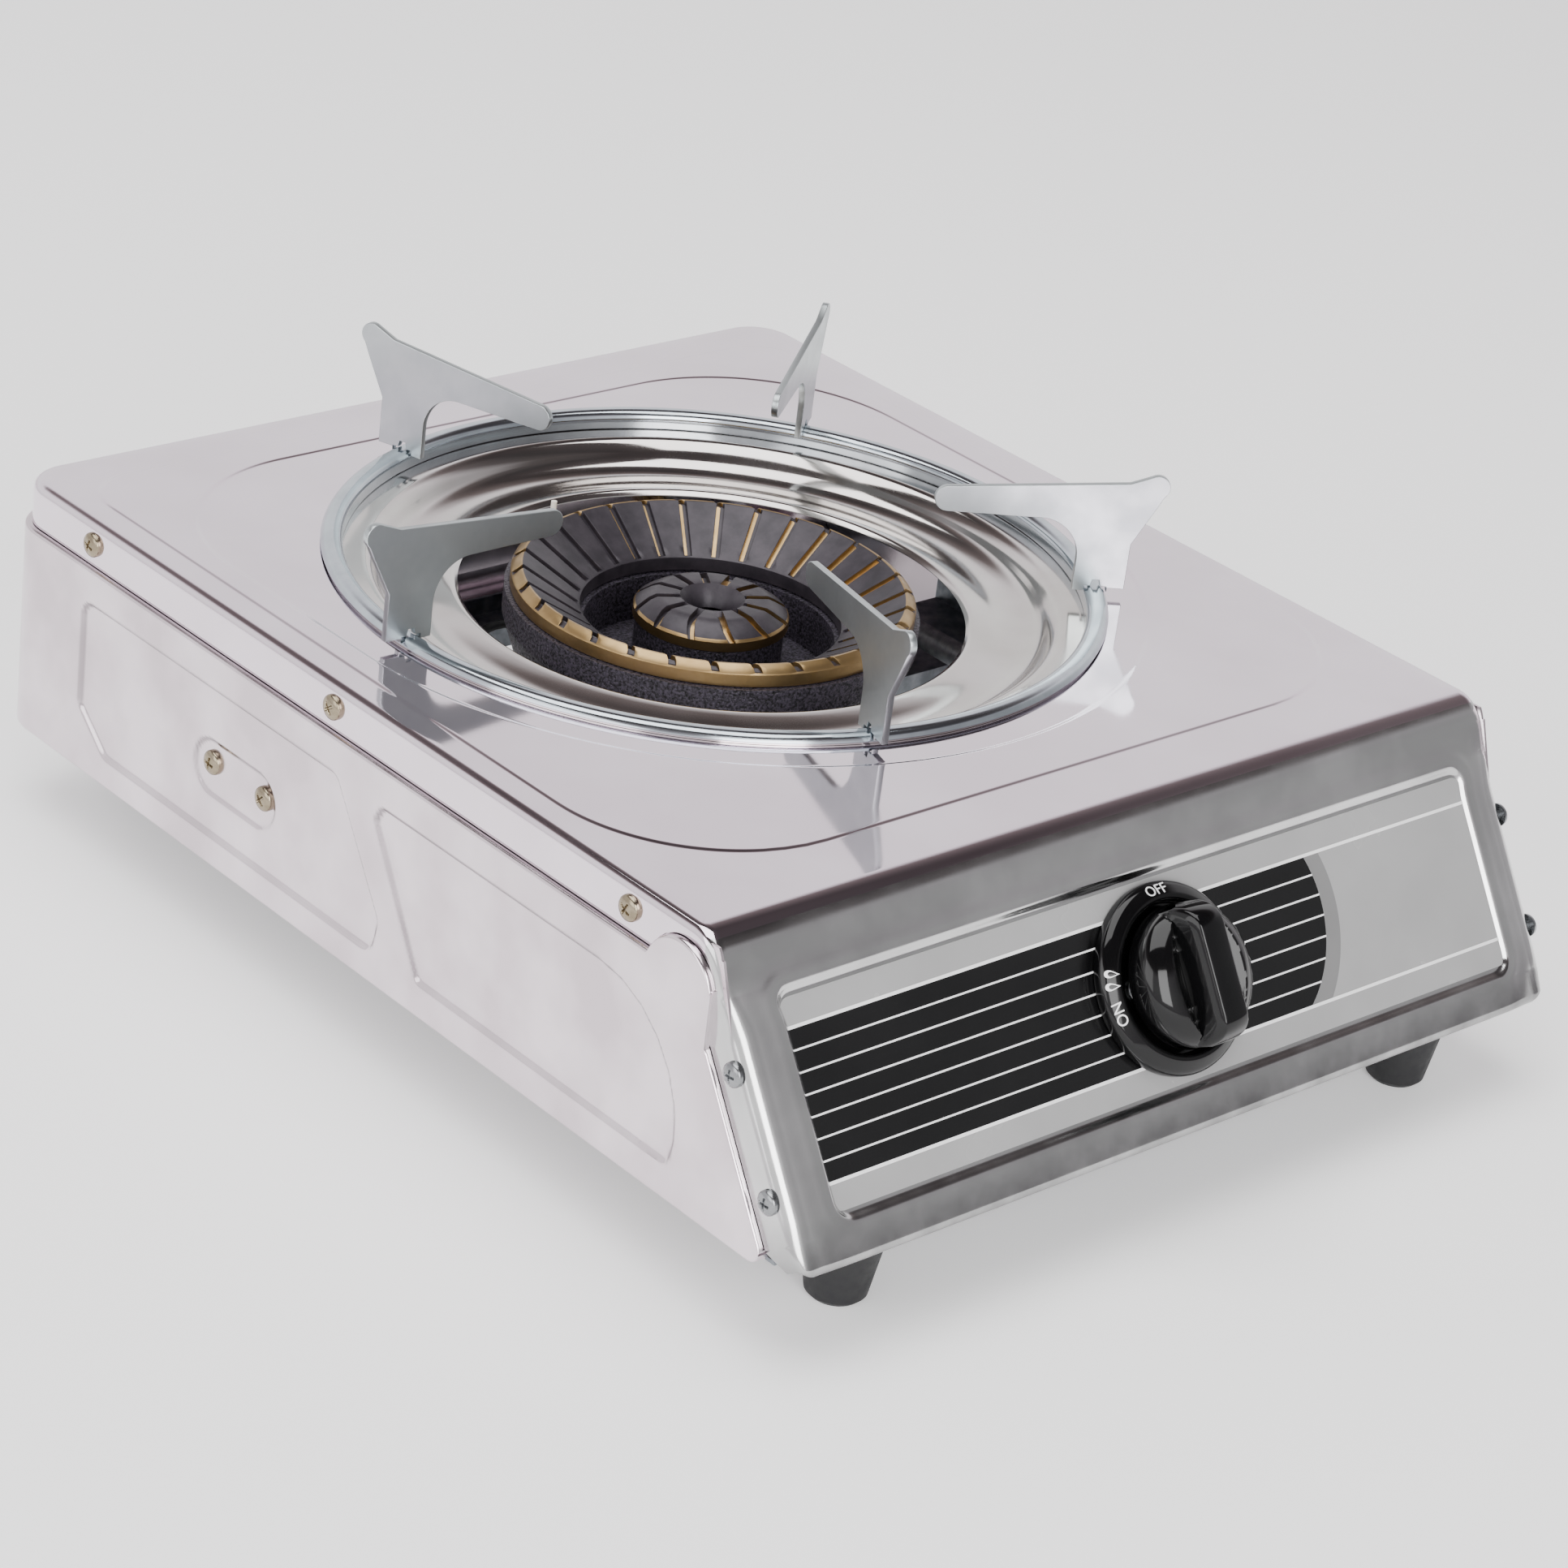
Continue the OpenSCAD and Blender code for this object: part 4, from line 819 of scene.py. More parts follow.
def wall_column(x, y, nx, ny, head):
    """One upright column of the wall, from the flange under it to the tongue above, and its painted step
    shade.
    """
    out_way, base = np.array([nx, ny, 0.0]), wall_foot(y)
    pressed = ny < 0.05
    small = min(1.2, 0.45 * (head - base))
    z = base + small + (head - base - 2 * small) * np.linspace(0, 1, WALL_ROWS)
    along = np.full(WALL_ROWS, y)
    relief = wall_relief(along, z) if pressed else np.zeros(WALL_ROWS)
    strain = wall_step_shade(along, z) if pressed else np.zeros(WALL_ROWS)

    def at(inwards, heights):
        inwards, heights = np.broadcast_arrays(inwards, heights)
        return np.stack([x - nx * inwards, y - ny * inwards, heights], -1)

    corner = np.radians(np.linspace(0, 90, 5)[1:])
    tucked, rise = small * (1 - np.cos(corner)), small * np.sin(corner)
    way, length = wall_tongue(y, head, base)
    shelf = np.array([x, y, head]) - out_way * TUCK_IN
    tongue = [shelf + way * length * share for share in (0.1, 0.5, 1.0)]
    parts = [at(np.array([12.5, 6.0]), base), at(tucked, base + small - rise)[::-1], at(-relief, z),
             at(tucked, head - small + rise), [shelf], tongue]
    step_shades = [strain if part is parts[2] else np.zeros(len(part)) for part in parts]
    return np.concatenate(parts), np.concatenate(step_shades)


def wall_grid():
    columns_of_wall = [wall_column(*station) for station in wall_path()]
    return np.array([c[0] for c in columns_of_wall]), np.array([c[1] for c in columns_of_wall])


left_points, step_shade_map = wall_grid()
right_points = left_points * [-1, 1, 1]
for name, points, node, face_out in (("left_wall_pressing", left_points, "left_side_panel", (-1, 0, 0)),
                                     ("right_wall_pressing", right_points, "right_side_panel", (1, 0, 0))):
    wall = join_grids(name, [(points, False)])
    # this attribute carries the painted shade of the pressed steps to the wall's finish
    wall.data.attributes.new("strain", "FLOAT", "POINT").data.foreach_set("value", step_shade_map.ravel())
    give_thickness(wall, SHEET, Vector(face_out))
    finish_piece(wall, "chassis", "stainless", node, finish=wall_steel)

# %% [markdown]
# Turned and spun parts are drawn as a half section and swung round the burner's axis.  A short
# list of corner points is enough: a small radius is cut on every corner first.

# %% Half sections swung round an axis
def soften(points, radius, steps=4, closed=True):
    """Rounds the corners of a section; each radius shrinks to fit its edges."""
    points = [np.asarray(p, float) for p in points]
    n = len(points)
    done = []
    for i in range(n):
        if not closed and i in (0, n - 1):
            done.append(points[i])
            continue
        here, a, b = points[i], points[i - 1], points[(i + 1) % n]
        reach_a, reach_b = np.linalg.norm(a - here), np.linalg.norm(b - here)
        cut = min(radius, 0.45 * reach_a, 0.45 * reach_b)
        start, stop = here + (a - here) / reach_a * cut, here + (b - here) / reach_b * cut
        for t in np.linspace(0, 1, steps):
            done.append((1 - t) ** 2 * start + 2 * t * (1 - t) * here + t * t * stop)
    return np.array(done)


def thicken(path, thickness):
    """A closed section from a path and the same path moved sideways."""
    path = np.asarray(path, float)
    step = np.gradient(path, axis=0)
    normal = np.stack([-step[:, 1], step[:, 0]], -1) / np.linalg.norm(step, axis=1)[:, None]
    return np.concatenate([path, (path + normal * thickness)[::-1]])


def turned(name, section, sides, centre=(0.0, 0.0)):
    """Swings a closed section round an upright axis."""
    angles = np.linspace(0, 2 * math.pi, sides, endpoint=False)
    section = np.asarray(section, float)
    points = np.stack([centre[0] + section[:, None, 0] * np.cos(angles),
                       centre[1] + section[:, None, 0] * np.sin(angles),
                       np.broadcast_to(section[:, None, 1], (len(section), sides))], -1)
    rows = np.concatenate([points, points[:1]])
    return tidy_mesh(join_grids(name, [(rows, True)]))


# %% Drip pan
PAN_SHEET = 0.6
pan_high = from_box("drip_pan")[1]
pan_open = 75.0
pan_wall = 110.4
lip = pan_high.z - PAN_SHEET
pan_path = [(pan_open, deck_z - 10.5), (pan_open + 1.4, deck_z - 9.4), (pan_open + 6, deck_z - 10),
            (pan_open + 11, deck_z - 11), (pan_wall - 19, deck_z - 11), (pan_wall - 14, deck_z - 9.4),
            (pan_wall - 11, deck_z - 5.4), (pan_wall - 8.6, deck_z - 3.4), (pan_wall - 0.8, deck_z - 3.4),
            (pan_wall, deck_z - 2.6), (pan_wall, lip - 0.3), (pan_wall + 0.5, lip), (pan_high.x, lip)]
drip_pan = turned("drip_pan_spun", thicken(soften(pan_path, 3.0, 5, closed=False), PAN_SHEET), 224,
                  (0, burner_y))
finish_piece(drip_pan, "pan", "stainless_bright", "drip_pan", finish=pan_steel)

# %% Support ring, a rolled channel that opens downwards
ring_out = ring_high.x / MM
ring_in, ring_top = ring_out - 6.5, ring_high.z / MM
inner_foot, outer_foot = ring_low.z / MM, deck_z + 0.8
channel = [(ring_in, inner_foot), (ring_in, ring_top - 1.9),
           (ring_in + 0.9, ring_top - 0.5), (ring_in + 2.3, ring_top),
           (ring_out - 2.3, ring_top), (ring_out - 0.9, ring_top - 0.5), (ring_out, ring_top - 1.9),
           (ring_out, outer_foot), (ring_out - 1, outer_foot),
           (ring_out - 1, ring_top - 2.2), (ring_in + 1, ring_top - 2.2), (ring_in + 1, inner_foot)]
support_ring = turned("support_ring_rolled", soften(channel, 1.3, 5), 224, (0, burner_y))
finish_piece(support_ring, "pan_support", "zinc", "support_ring", finish=ring_zinc)

# %% [markdown]
# Repeated parts come from Geometry Nodes.  Each tree is built here from three ideas: points that
# say where, an object that says what, and inputs with names that say how big.  The tree ends by
# making the copies real and giving them their finish, and the result becomes a plain mesh.

# %% A tree for parts that stand round an axis
def open_tree(name, inputs):
    """An empty Geometry Nodes tree with a geometry input and named number or object inputs."""
    tree = bpy.data.node_groups.new(name, "GeometryNodeTree")
    tree.interface.new_socket("Geometry", in_out="INPUT", socket_type="NodeSocketGeometry")
    for label, kind, value in inputs:
        socket = tree.interface.new_socket(label, in_out="INPUT", socket_type=kind)
        if value is not None:
            socket.default_value = value
    tree.interface.new_socket("Geometry", in_out="OUTPUT", socket_type="NodeSocketGeometry")
    return tree, add_node(tree, "NodeGroupInput").outputs


def close_tree(tree, geometry):
    add_node(tree, "NodeGroupOutput", None, {"Geometry": geometry})


def run_tree(name, tree, values, start=None):
    """Runs a tree on a starting mesh and keeps the result as a plain mesh object."""
    made = start or new_mesh(name, np.zeros((1, 3)), [])
    made.name = name
    modifier = made.modifiers.new("tree", "NODES")
    modifier.node_group = tree
    for item in tree.interface.items_tree:
        if item.in_out == "INPUT" and item.name in values:
            modifier[item.identifier] = values[item.name]
    return freeze(made)


def object_info(tree, source):
    return add_node(tree, "GeometryNodeObjectInfo", {"transform_space": "ORIGINAL"},
                    {"Object": source}).outputs["Geometry"]


def copies_on(tree, points, part, **more):
    """Copies of a part on points, made real."""
    copies = add_node(tree, "GeometryNodeInstanceOnPoints", None,
                      {"Points": points, "Instance": part, **more})
    return add_node(tree, "GeometryNodeRealizeInstances", None,
                    {"Geometry": copies.outputs["Instances"]}).outputs["Geometry"]


def copies_round(tree, part, count, first_angle, axis):
    """Copies of a part, evenly turned round an upright axis, made real."""
    line = add_node(tree, "GeometryNodeMeshLine", None, {"Count": count, "Offset": (0, 0, 0)})
    placed = add_node(tree, "GeometryNodeSetPosition", None,
                      {"Geometry": line.outputs["Mesh"], "Position": axis}).outputs["Geometry"]
    pitch = add_node(tree, "ShaderNodeMath", {"operation": "DIVIDE"}, {0: 2 * math.pi, 1: count})
    index = add_node(tree, "GeometryNodeInputIndex").outputs["Index"]
    angle = add_node(tree, "ShaderNodeMath", {"operation": "MULTIPLY_ADD"},
                     {0: index, 1: pitch.outputs[0], 2: first_angle})
    rotation = add_node(tree, "ShaderNodeCombineXYZ", None, {"Z": angle.outputs[0]})
    return copies_on(tree, placed, part, Rotation=rotation.outputs["Vector"])


def painted(tree, geometry, finish, **more):
    return add_node(tree, "GeometryNodeSetMaterial", None,
                    {"Geometry": geometry, "Material": finish, **more}).outputs["Geometry"]


def named_value(tree, kind, name):
    """Reads an attribute of the starting mesh."""
    return add_node(tree, "GeometryNodeInputNamedAttribute", {"data_type": kind},
                    {"Name": name}).outputs["Attribute"]


def circle_tree():
    """Copies of one object, evenly turned round an upright axis."""
    tree, inputs = open_tree("copies_round_axis", [
        ("Part", "NodeSocketObject", None), ("Count", "NodeSocketInt", 5),
        ("First Angle", "NodeSocketFloat", 0.0), ("Axis", "NodeSocketVector", None),
        ("Finish", "NodeSocketMaterial", None)])
    real = copies_round(tree, object_info(tree, inputs["Part"]), inputs["Count"], inputs["First Angle"],
                        inputs["Axis"])
    close_tree(tree, painted(tree, real, inputs["Finish"]))
    return tree


around_axis = circle_tree()
print("tree:", around_axis.name)

# %% [markdown]
# The five pan supports are one stamping, 2 mm thick, with the burrs tumbled off.  One arm is
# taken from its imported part, swung to point along X, given a small bevel, and copied five times.

# %% Pan support arms
ARMS = 5
FIRST_ARM = math.radians(-36)


def loose_copy(node, name):
    """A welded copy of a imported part's mesh, in its place and in metres."""
    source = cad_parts[node]
    made = add_object(name, source.data.copy())
    made.data.materials.clear()
    return tidy_mesh(made, 1e-6, outward=False)


def flatten_faces(made, degrees):
    """Joins faces that lie in one plane."""
    work = edit_mesh(made)
    bmesh.ops.dissolve_limit(work, angle_limit=math.radians(degrees), verts=work.verts, edges=work.edges)
    save_mesh(work, made)


def cut_edges(made, width, degrees, segments=1):
    """A small bevel on every edge that is sharper than this, frozen into the mesh."""
    bevel = made.modifiers.new("cut_edges", "BEVEL")
    bevel.width = width * MM
    bevel.segments = segments
    bevel.limit_method = "ANGLE"
    bevel.angle_limit = math.radians(degrees)
    return freeze(made)


arm = loose_copy("support_arm_1", "arm_stamping")
axis_place = Vector((0, (bend_y + burner_y) * MM, 0))
arm.data.transform(Matrix.Rotation(-FIRST_ARM, 4, "Z") @ Matrix.Translation(-axis_place))
flatten_faces(arm, 1.0)
cut_edges(arm, 0.3, 40, 2)
arm.data.shade_smooth()
arm.data.set_sharp_from_angle(angle=math.radians(50))
for face in arm.data.polygons:
    face.use_smooth = abs(face.normal.y) < 0.999
arms = run_tree("support_arms", around_axis, {"Part": arm, "Count": ARMS, "First Angle": FIRST_ARM,
                                              "Axis": axis_place, "Finish": zinc})
bpy.data.objects.remove(arm)
finish_piece(arms, "pan_support", "zinc", *[f"support_arm_{i}" for i in range(1, ARMS + 1)])

# %% [markdown]
# A burner cap repeats one wedge.  The wedge is a closed section swung through a few degrees, with
# a slot sunk into its middle; the face is blackened and the slot stays bright brass, except for one
# wall and the half floor beside it, and the slot floors on the rim, which are painted black as
# painted shadow.

# %% One wedge of a slotted cap
WEDGE_COLUMNS = 12
SLOT_LIP = 0.12


def wedge_row(r, z, pitch, slot_width, depth, turn):
    """Twelve points across one wedge: face, lip, slot floor, lip, face."""
    half, swing, lip = slot_width / 2 / r, turn / r, SLOT_LIP / r
    left, right_edge = swing - half, swing + half
    angles = [-pitch / 2, (left - pitch / 2) / 2, left - lip, left, left, swing,
              swing, right_edge, right_edge, right_edge + lip, (right_edge + pitch / 2) / 2, pitch / 2]
    start_drop = min(SLOT_LIP, depth)
    drops = [0, 0, 0, start_drop, depth, depth, depth, depth, start_drop, 0, 0, 0]
    return [(r * math.cos(angle), r * math.sin(angle), z - drop) for angle, drop in zip(angles, drops)]


def wedge(name, section, count, slot_width, slot_depth, slot_turn, painted_rows):
    """A sector of a turned part.  slot_depth and slot_turn give, for each row of the section, how
    deep the slot is and how far it has swung sideways."""
    pitch = 2 * math.pi / count
    points = np.array([wedge_row(r, z, pitch, slot_width, depth, turn)
                       for (r, z), depth, turn in zip(section, slot_depth, slot_turn)])
    grid = np.concatenate([points, points[:1]])
    faces = sheet_faces(len(grid), WEDGE_COLUMNS)
    made = new_mesh(name, grid, faces, (0, 0, 0))
    row, column = np.divmod(np.arange(len(faces)), WEDGE_COLUMNS - 1)
    on_face = (row >= painted_rows[0]) & (row < painted_rows[1])
    below = row >= painted_rows[1]
    sunk = np.array(slot_depth)[row] > 0
    top = (column < 3) | (column > 7)
    # painted shadow: one wall of each slot and the half of its floor beside it are marked black
    floor = (column == 3) | (column == 4)
    slot = (column >= 4) & (column <= 6)
    # marked black: the paint on the face, the painted shadow in the slots on the face, and painted shadow on
    # the slot floors across the rim
    black = (on_face & (top | floor | ~sunk)) | (below & slot & sunk)
    made.data.attributes.new("painted", "BOOLEAN", "FACE").data.foreach_set("value", black)
    return made


def cap_tree():
    """Wedges round an axis, welded into one cap: brass first, then black on the marked faces, which are black
    paint and painted shadow in the slots.
    """
    tree, inputs = open_tree("slotted_cap", [
        ("Wedge", "NodeSocketObject", None), ("Count", "NodeSocketInt", 30),
        ("Axis", "NodeSocketVector", None),
        ("Brass", "NodeSocketMaterial", None), ("Black", "NodeSocketMaterial", None)])
    real = copies_round(tree, object_info(tree, inputs["Wedge"]), inputs["Count"], 0.0, inputs["Axis"])
    welded = add_node(tree, "GeometryNodeMergeByDistance", None, {"Geometry": real, "Distance": 2e-6})
    base = painted(tree, welded.outputs["Geometry"], inputs["Brass"])
    close_tree(tree, painted(tree, base, inputs["Black"], Selection=named_value(tree, "BOOLEAN", "painted")))
    return tree


slotted_cap = cap_tree()


def slotted_piece(name, one_wedge, count, body, node):
    """A whole cap from one wedge, which is then thrown away."""
    cap = run_tree(name, slotted_cap, {"Wedge": one_wedge, "Count": count, "Axis": axis_place,
                                       "Brass": brass, "Black": cap_black_and_slot_shadow})
    bpy.data.objects.remove(one_wedge)
    tidy_mesh(cap, 1e-7, sharp=28)
    return finish_piece(cap, body, "brass", node)


print("tree:", slotted_cap.name)

# %% Outer cap: a cone that falls towards the middle
cap_low, cap_high = from_box("outer_burner_cap")
cap_r, rim_z = cap_high.x, cap_high.z
cap_bottom = cap_low.z
cone_in, cone_low = 38.5, rim_z - 10.5
OUTER_SLOTS = 30
cone_rows = [(cone_in, cone_low - 4.5), (cone_in, cone_low - 0.4), (cone_in + 0.5, cone_low)]
cone_run = [(r, cone_low + (rim_z - 0.15 - cone_low) * (r - cone_in - 0.5) / (cap_r - 3.6 - cone_in - 0.5))
            for r in np.linspace(cone_in + 2.0, cap_r - 3.6, 9)]
rim_run = [(cap_r - 3.3, rim_z), (cap_r - 2.7, rim_z), (cap_r - 1.6, rim_z - 0.7), (cap_r - 0.3, rim_z - 1.7),
           (cap_r, rim_z - 2.2), (cap_r, rim_z - 5.8), (cap_r - 0.4, rim_z - 6.1),
           (cap_r - 2, rim_z - 6.1), (cap_r - 3.6, rim_z - 6.1), (cap_r - 4, cap_bottom + 3),
           (cone_in + 2, cone_low - 4.6)]
section = cone_rows + cone_run + rim_run
plain_rows = len(section) - len(cone_rows) - len(cone_run) - 4
depths = [0.0] * len(cone_rows) + [1.5] * len(cone_run) + [1.4, 1.3, 1.2, 0.0] + [0.0] * plain_rows
turns = [0.0] * (len(cone_rows) + len(cone_run)) + [0.5, 1.3, 2.0, 2.4] + [0.0] * plain_rows
outer_wedge = wedge("outer_wedge", section, OUTER_SLOTS, 2.3, depths, turns,
                    (0, len(cone_rows) + len(cone_run)))
slotted_piece("outer_burner_cap_slotted", outer_wedge, OUTER_SLOTS, "outer_cap", "outer_burner_cap")

# %% Inner cap: twelve facets round a conical hole
in_low, in_high = from_box("inner_burner_cap")
in_r, in_rim = in_high.x, in_high.z
INNER_SLOTS = 12
section = ([(6.0, in_low.z + 4), (6.6, in_rim - 4.5), (8.6, in_rim - 1.4), (9.6, in_rim - 0.2)]
           + [(r, in_rim) for r in (10.4, 12.5, 15.0, 16.6)]
           + [(in_r - 4.4, in_rim - 0.9), (in_r - 2.4, in_rim - 2.2), (in_r - 0.6, in_rim - 3.4),
              (in_r, in_rim - 4.2), (in_r, in_rim - 7.0), (in_r - 0.5, in_rim - 7.4),
              (in_r - 5.5, in_rim - 7.4), (in_r - 6, in_low.z)])
depths = [0] * 4 + [1.9] * 4 + [1.9, 1.7, 1.2, 0.0] + [0] * 4
turns = [0] * 8 + [0.2, 0.9, 1.7, 2.2] + [0] * 4
inner_wedge = wedge("inner_wedge", section, INNER_SLOTS, 2.2, depths, turns, (0, 10))
slotted_piece("inner_burner_cap_slotted", inner_wedge, INNER_SLOTS, "inner_cap", "inner_burner_cap")

# %% [markdown]
# Screws are the clearest case for a tree: one head, many places, each turned by a random amount as
# a worker leaves it.  The head is a dome with a cross pressed into it.

# %% One screw
def screw_mesh(name, radius, height, shank):
    """A domed head with a cross pressed into it, on a short shank."""
    rings, sides = 24, 64
    angles = np.linspace(0, 2 * math.pi, sides, endpoint=False)
    rows = []
    for share in np.linspace(0.0, 1.0, rings + 1):
        x, y = radius * share * np.cos(angles), radius * share * np.sin(angles)
        dome = height * (0.28 + 0.72 * math.sqrt(max(0.0, 1 - share ** 2)))
        narrow, wide = np.minimum(np.abs(x), np.abs(y)), np.maximum(np.abs(x), np.abs(y))
        cross = soft_step(0.34 - narrow, 0.22) * soft_step(radius * 0.5 - wide, 0.5)
        rows.append(np.stack([x, y, dome - 0.85 * cross], -1))
    for r, z in ((radius, 0.0), (radius * 0.5, 0.0), (radius * 0.5, -shank), (0.0, -shank)):
        rows.append(np.stack([r * np.cos(angles), r * np.sin(angles), np.full(sides, z)], -1))
    return tidy_mesh(new_mesh(name, rows, sheet_faces(len(rows), sides, True), (0, 0, 0)), 1e-7, sharp=40)


def screw_tree():
    """A screw on every point, along the point's own axis, each with a seeded random turn."""
    tree, inputs = open_tree("screws_on_points", [
        ("Screw", "NodeSocketObject", None), ("Size", "NodeSocketFloat", 1.0), ("Seed", "NodeSocketInt", 3),
        ("Finish", "NodeSocketMaterial", None)])
    upright = add_node(tree, "FunctionNodeAlignRotationToVector", {"axis": "Z"},
                       {"Vector": named_value(tree, "FLOAT_VECTOR", "axis")})
    turn_by = add_node(tree, "FunctionNodeRandomValue", {"data_type": "FLOAT"},
                       {"Seed": inputs["Seed"], 2: 0.0, 3: math.pi})
    spin = add_node(tree, "ShaderNodeCombineXYZ", None, {"Z": turn_by.outputs[1]})
    turned_axis = add_node(tree, "FunctionNodeRotateRotation", {"rotation_space": "LOCAL"},
                           {"Rotation": upright.outputs["Rotation"], "Rotate By": spin.outputs["Vector"]})
    real = copies_on(tree, inputs["Geometry"], object_info(tree, inputs["Screw"]),
                     Rotation=turned_axis.outputs["Rotation"], Scale=inputs["Size"])
    close_tree(tree, painted(tree, real, inputs["Finish"]))
    return tree


screws_on_points = screw_tree()
SCREW_R = 3.7
dome_screw = screw_mesh("dome_screw", SCREW_R, 2.2, 4.0)
print("one screw has", len(dome_screw.data.polygons), "faces")

# %% Screws in their places
def place_screws(name, spots, finish, node, slot, size=1.0, seed=3):
    """Screws at (point, axis) pairs, as one piece that stands for a node."""
    points = np.array([spot[0] for spot in spots], float)
    start = new_mesh(name, points, [])
    start.data.attributes.new("axis", "FLOAT_VECTOR", "POINT").data.foreach_set(
        "vector", np.array([spot[1] for spot in spots], float).ravel())
    made = run_tree(name, screws_on_points,
                    {"Screw": dome_screw, "Size": size, "Seed": seed, "Finish": finish}, start)
    return finish_piece(made, "chassis", slot, node)


def on_slope(x, down, out):
    """A point from its place across, down and out from the slanted front."""
    return (x, -down * SIN - out * COS, deck_z - down * COS + out * SIN)


skirt_z = deck_z - SKIRT / 2
SIDES = (-1, 1)
cover_spots = [((side * cover_half, y, skirt_z), (side, 0, 0))
               for side in SIDES for y in (DECK_DEPTH - 42, DECK_DEPTH / 2 - 1, 30)]
place_screws("cover_screw_heads", cover_spots, nickel, "cover_screws", "nickel_screws")
flange_spots = [(on_slope(side * cover_half, down, -4.95), (side, 0, 0))
                for side in SIDES for down in (35, 68)]
place_screws("flange_screw_heads", flange_spots, screw_zinc, "flange_screws", "zinc", 0.92, 5)
bracket_low, bracket_high = from_box("bracket_screws")
bracket_y = (bracket_low.y + bracket_high.y) / 2
bracket_z = (bracket_low.z + bracket_high.z) / 2
screw_seat = wall_half - BOSS_DEPTH
bracket_spots = [((side * screw_seat, bracket_y + dy, bracket_z), (side, 0, 0))
                 for side in SIDES for dy in (-12.5, 12.5)]
place_screws("bracket_screw_heads", bracket_spots, nickel, "bracket_screws", "nickel_screws", 1.0, 7)
rear_low, rear_high = from_box("rear_screws")
rear_spots = [((side * (rear_high.x - SCREW_R), wall_rear, z), (0, 1, 0))
              for side in SIDES for z in (rear_low.z + SCREW_R, rear_high.z - SCREW_R)]
place_screws("rear_screw_heads", rear_spots, screw_zinc, "rear_screws", "zinc", 1.0, 9)

# %% [markdown]
# The burner bracket is a folded strip screwed to both walls.  Its ends follow the pressed panels,
# so they step in by the depth of the pressing, and its edges get the small radius of a shear cut.

# %% Burner bracket
bracket = loose_copy("burner_bracket", "burner_bracket_folded")
end_x = max(vertex.co.x for vertex in bracket.data.vertices)
for vertex in bracket.data.vertices:
    if abs(vertex.co.x) > end_x - 4 * MM:
        vertex.co.x -= math.copysign((BOSS_DEPTH + 0.1) * MM, vertex.co.x)
flatten_faces(bracket, 0.5)
cut_edges(bracket, 0.2, 50)
bracket.data.shade_flat()
finish_piece(bracket, "chassis", "galvanised", "burner_bracket", finish=galvanised)

# %% [markdown]
# The label is a printed film laid in the recess.  The print is drawn as thin inlays rather than as
# a texture, so that its edges stay sharp at any distance: a black band that ends in a round
# segment, white rules across it, and a light ring beside the segment.

# %% Label film
LABEL_HALF, LABEL_TOP, LABEL_BASE = RECESS_HALF - 1.8, RECESS_TOP + 1.8, RECESS_BASE - 1.8
LABEL_FACE = -0.8
knob_low, knob_high = from_box("knob_bezel")
bezel_middle = (knob_low + knob_high) / 2
knob_down = round(float((deck_z - bezel_middle.z) * COS - bezel_middle.y * SIN), 2)
print("knob axis", knob_down, "mm down the slope")


def flat_on_slope(name, outline, low, high, hole=None):
    """A thin plate on the slope: outline as (x, down) points, between two heights above it."""
    work = bmesh.new()
    edges = []
    for loop in filter(None, (outline, hole)):
        ring = [work.verts.new(on_slope(x, down, low)) for x, down in loop]
        edges += [work.edges.new((ring[i - 1], ring[i])) for i in range(len(ring))]
    bmesh.ops.triangle_fill(work, edges=edges, use_beauty=True)
    base = list(work.faces)
    for face in base:
        face.normal_update()
        if face.normal.y > 0:
            face.normal_flip()
    lifted = bmesh.ops.extrude_face_region(work, geom=base, use_keep_orig=True)
    raised = [item for item in lifted["geom"] if isinstance(item, bmesh.types.BMVert)]
    bmesh.ops.translate(work, vec=Vector((0, -COS, SIN)) * (high - low), verts=raised)
    bmesh.ops.recalc_face_normals(work, faces=work.faces)
    to_metres = Matrix.Translation((0, bend_y * MM, 0)) @ Matrix.Scale(MM, 4)
    bmesh.ops.transform(work, matrix=to_metres, verts=work.verts)
    made = add_object(name, bpy.data.meshes.new(name))
    save_mesh(work, made)
    return made


def rounded_box(half, top, base, radius, steps=8):
    return [tuple(p) for p in rounded_loop(-half, half, top, base, (radius,) * 4, steps)]


def ring_points(radius, centre, steps=72):
    return [(centre[0] + radius * math.cos(a), centre[1] + radius * math.sin(a))
            for a in np.linspace(0, 2 * math.pi, steps, endpoint=False)]


HUB_R = 9.0
film = flat_on_slope("label_film", rounded_box(LABEL_HALF, LABEL_TOP, LABEL_BASE, 3.5), -1.2, LABEL_FACE,
                     ring_points(HUB_R, (0, knob_down), 48))
finish_piece(film, "chassis", "label", "front_label", finish=print_grey)

# %% Printed band, segment and rules
INK = 0.03
BAND_TOP, BAND_BASE = 28.0, 68.3
DISC_AT, DISC_R = (30.0, 41.0), 33.5


def right_end(down, radius):
    """Where the round segment ends at a distance down the slope."""
    return DISC_AT[0] + math.sqrt(max(0.0, radius ** 2 - (down - DISC_AT[1]) ** 2))


downs = np.linspace(BAND_TOP, BAND_BASE, 40)
band_outline = ([(-LABEL_HALF, BAND_TOP)] + [(right_end(d, DISC_R), d) for d in downs]
                + [(-LABEL_HALF, BAND_BASE)])
band = flat_on_slope("label_band", band_outline, LABEL_FACE, LABEL_FACE + INK,
                     ring_points(HUB_R + 2, (0, knob_down), 48))
finish_piece(band, "chassis", "label", finish=print_black)
HALO_GAP, HALO_WIDTH = 0.1, 5.5
crescent = ([(right_end(d, DISC_R) + HALO_GAP, d) for d in downs]
            + [(right_end(d, DISC_R + HALO_WIDTH), d) for d in downs[::-1]])
halo = flat_on_slope("label_halo", crescent, LABEL_FACE, LABEL_FACE + INK)
halo_grey = moulded("label_ink_mid_grey", "#7A7A7A", "#757575", 0.22, 25, 0.004)
finish_piece(halo, "chassis", "label", finish=halo_grey)

